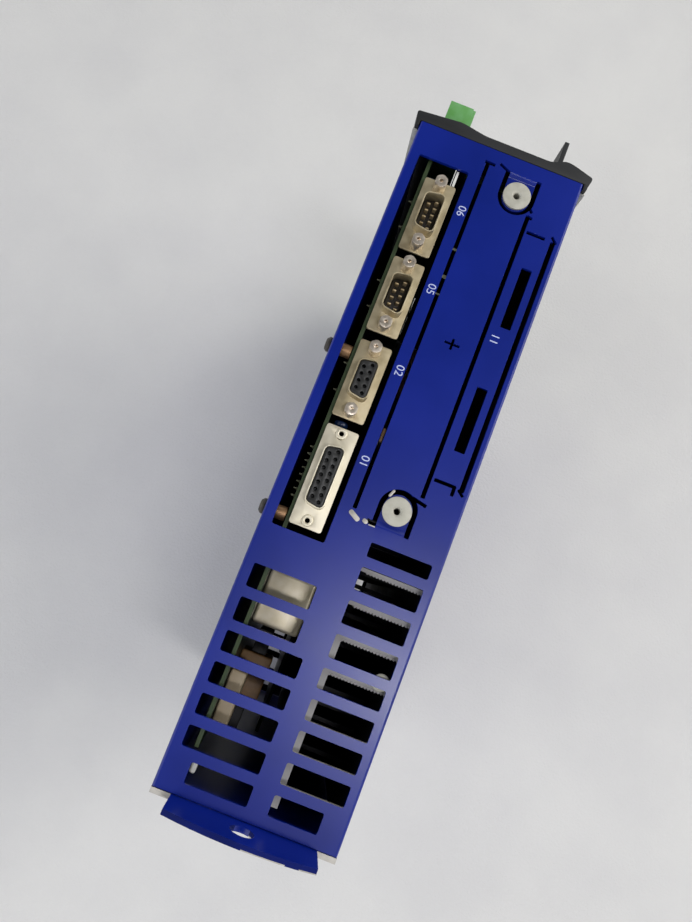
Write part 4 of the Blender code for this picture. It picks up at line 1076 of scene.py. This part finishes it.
def buildTerminal(name, values):
    polish(name + "_header", shadedHeaderPolyamide, 0.25)
    node = name + "_plug"
    low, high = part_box(node)
    headLow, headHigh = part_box(name + "_header")
    middle = (low.x + high.x) / 2
    width = high.x - low.x
    bodyEnd = headLow.y - 0.3 * mm
    plug = cleanCopy(node)
    pitch = values["pitch"] * mm
    start = (low.z + high.z) / 2 - (values["poles"] - 1) * pitch / 2
    funnels, wells, seams, screws = [], [], [], []
    wire = min(pitch * 0.68, width * 0.3)
    screwRadius = min(pitch * 0.33, width * 0.16)
    for pole in range(values["poles"]):
        z = start + pole * pitch
        x = middle - width * 0.22
        funnels.append(addBox((x - wire / 2, low.y - mm, z - wire / 2),
                              (x + wire / 2, low.y + 6 * mm, z + wire / 2)))
        x = middle + width * 0.24
        wells.append(addRound((x, low.y + 1.5 * mm, z), screwRadius, 6 * mm, "Y", 20))
        screw = addRound((x, low.y + 3.4 * mm, z), screwRadius * 0.9, 2.0 * mm, "Y", 20)
        combine(screw, addBox((x - screwRadius, low.y + 2.2 * mm, z - 0.25 * mm),
                              (x + screwRadius, low.y + 3.0 * mm, z + 0.25 * mm)))
        screws.append(screw)
        if pole:
            for side in (low.x, high.x):
                seams.append(addBox((side - 0.2 * mm, low.y - mm, z - pitch / 2 - 0.15 * mm),
                                    (side + 0.2 * mm, bodyEnd - 1.2 * mm, z - pitch / 2 + 0.15 * mm)))
    combine(plug, joined(funnels))
    combine(plug, joined(wells))
    combine(plug, joined(seams))
    # a small notch in one corner of the wire side
    combine(plug, addBox((low.x - mm, low.y - mm, high.z - 0.9 * mm),
                         (low.x + 1.1 * mm, low.y + 3.2 * mm, high.z + mm)))
    roundEdges(plug, 0.2, 2, 50)
    complete(plug, greenPolyamide, 35, name + "PlugBody", node, slotOf[node], node)
    complete(joined(screws), brightZinc, 35, name + "ClampScrews", node, "screw_steel")


for name, values in terminals.items():
    buildTerminal(name, values)
print("terminals ready")

# ---- small things in the connector opening ----

def hangingBox(sides, fronts, depths):
    # a box by its distances from the side and the front, and below the top
    return addBox((sideX(sides[1]), frontY(fronts[0]), top - depths[1] * mm),
                  (sideX(sides[0]), frontY(fronts[1]), top - depths[0] * mm))


blocks = {
    "whiteGuideStrip": {"sides": (20.3, 21.3), "fronts": (13.2, 19.6), "depths": (1.9, 2.5),
                        "edge": (0.15, 2), "finish": whiteNylon, "slot": "key_plastic"},
    "brownCarrier": {"sides": (29.8, 31.0), "fronts": (118.3, 123.6), "depths": (2.2, 3.4),
                     "edge": (0.2, 2), "finish": windingTape, "slot": "coil_tape"},
    "wireHousing": {"sides": (9.6, 11.8), "fronts": (252.6, 258.0), "depths": (9, 14),
                    "edge": (0.9, 4), "finish": whiteNylon, "slot": "cream_plastic"},
}
for name, values in blocks.items():
    block = hangingBox(values["sides"], values["fronts"], values["depths"])
    roundEdges(block, *values["edge"])
    complete(block, values["finish"], 32, name, "drive", values["slot"])
discs = []
for side, front in ((12.2, 19.0), (14.6, 122.2)):
    disc = addRound((sideX(side), frontY(front), top - 7 * mm), 2.6 * mm, 2.2 * mm, "Y", 28)
    roundEdges(disc, 0.8, 4)
    discs.append(disc)
complete(joined(discs), blueCeramic, 32, "ceramicCapacitors", "drive", "cream_plastic")
# bare bits of broken bridges in the slits; the thin third one is a bare cut edge painted as a glint
slivers = []
for side, front, long, wide, angle, lift in (
        (31.2, 152.7, 5.0, 1.8, 30, 0.1), (35.6, 153.2, 2.2, 1.6, 20, 0.1), (38.4, 153.9, 2.6, 0.45, 0, 0.1),
        (41.1, 140.1, 3.2, 1.0, -68, -0.3)):
    sliver = addBox((-long / 2 * mm, -wide / 2 * mm, -0.2 * mm), (long / 2 * mm, wide / 2 * mm, 0.2 * mm))
    bevelEdges(sliver, upright, wide * 0.46, 5)
    roundEdges(sliver, 0.1, 2, 50)
    turn = Matrix.Rotation(-math.radians(angle), 4, "Z")
    sliver.data.transform(Matrix.Translation((sideX(side), frontY(front), top + lift * mm)) @ turn)
    slivers.append(sliver)
complete(joined(slivers), bareEdgeAndGlint, 32, "brokenBridgesAndEdgeGlint", "drive", "screw_steel")

# uncut ties under the long slit, where the knock-out was left in
ties = []
for front, wide in ((43.8, 0.9), (55.5, 1.3), (62.8, 0.6)):
    ties.append(hangingBox((29.4, 31.3), (front - wide / 2, front + wide / 2), (0.9, 1.4)))
ties = joined(ties)
roundEdges(ties, 0.1, 2)
paint(ties, dullSolder)
keep(ties, "slitTies", "drive", "screw_steel")

# foam behind both side lips of the bezel
gasketEnds = (-134.0, 134.5)
gaskets = []
for side in (-1, 1):
    ends = sorted((side * (shellHigh.x + 0.15 * mm), side * (bezelHigh.x - 0.35 * mm)))
    gaskets.append(addBox((ends[0], bezelHigh.y + 0.02 * mm, gasketEnds[0] * mm),
                          (ends[1], bezelHigh.y + 0.7 * mm, gasketEnds[1] * mm)))
gaskets = joined(gaskets)
roundEdges(gaskets, 0.1, 2)
complete(gaskets, paleFoam, 32, "sideGaskets", "drive", "grey_plastic")

# the slotted screw on the heat sink, seen through an air slot
screw = addRound((sideX(61.7), frontY(204.6), top - 3.6 * mm), 3.3 * mm, 1.8 * mm, "Z", 48)
roundEdges(screw, 0.7, 4, 50)
combine(screw, hangingBox((59.8, 63.6), (204.2, 205.0), (2, 3.2)))
complete(screw, dullZinc, 32, "sinkScrew", "drive", "screw_steel")
print("small parts ready")
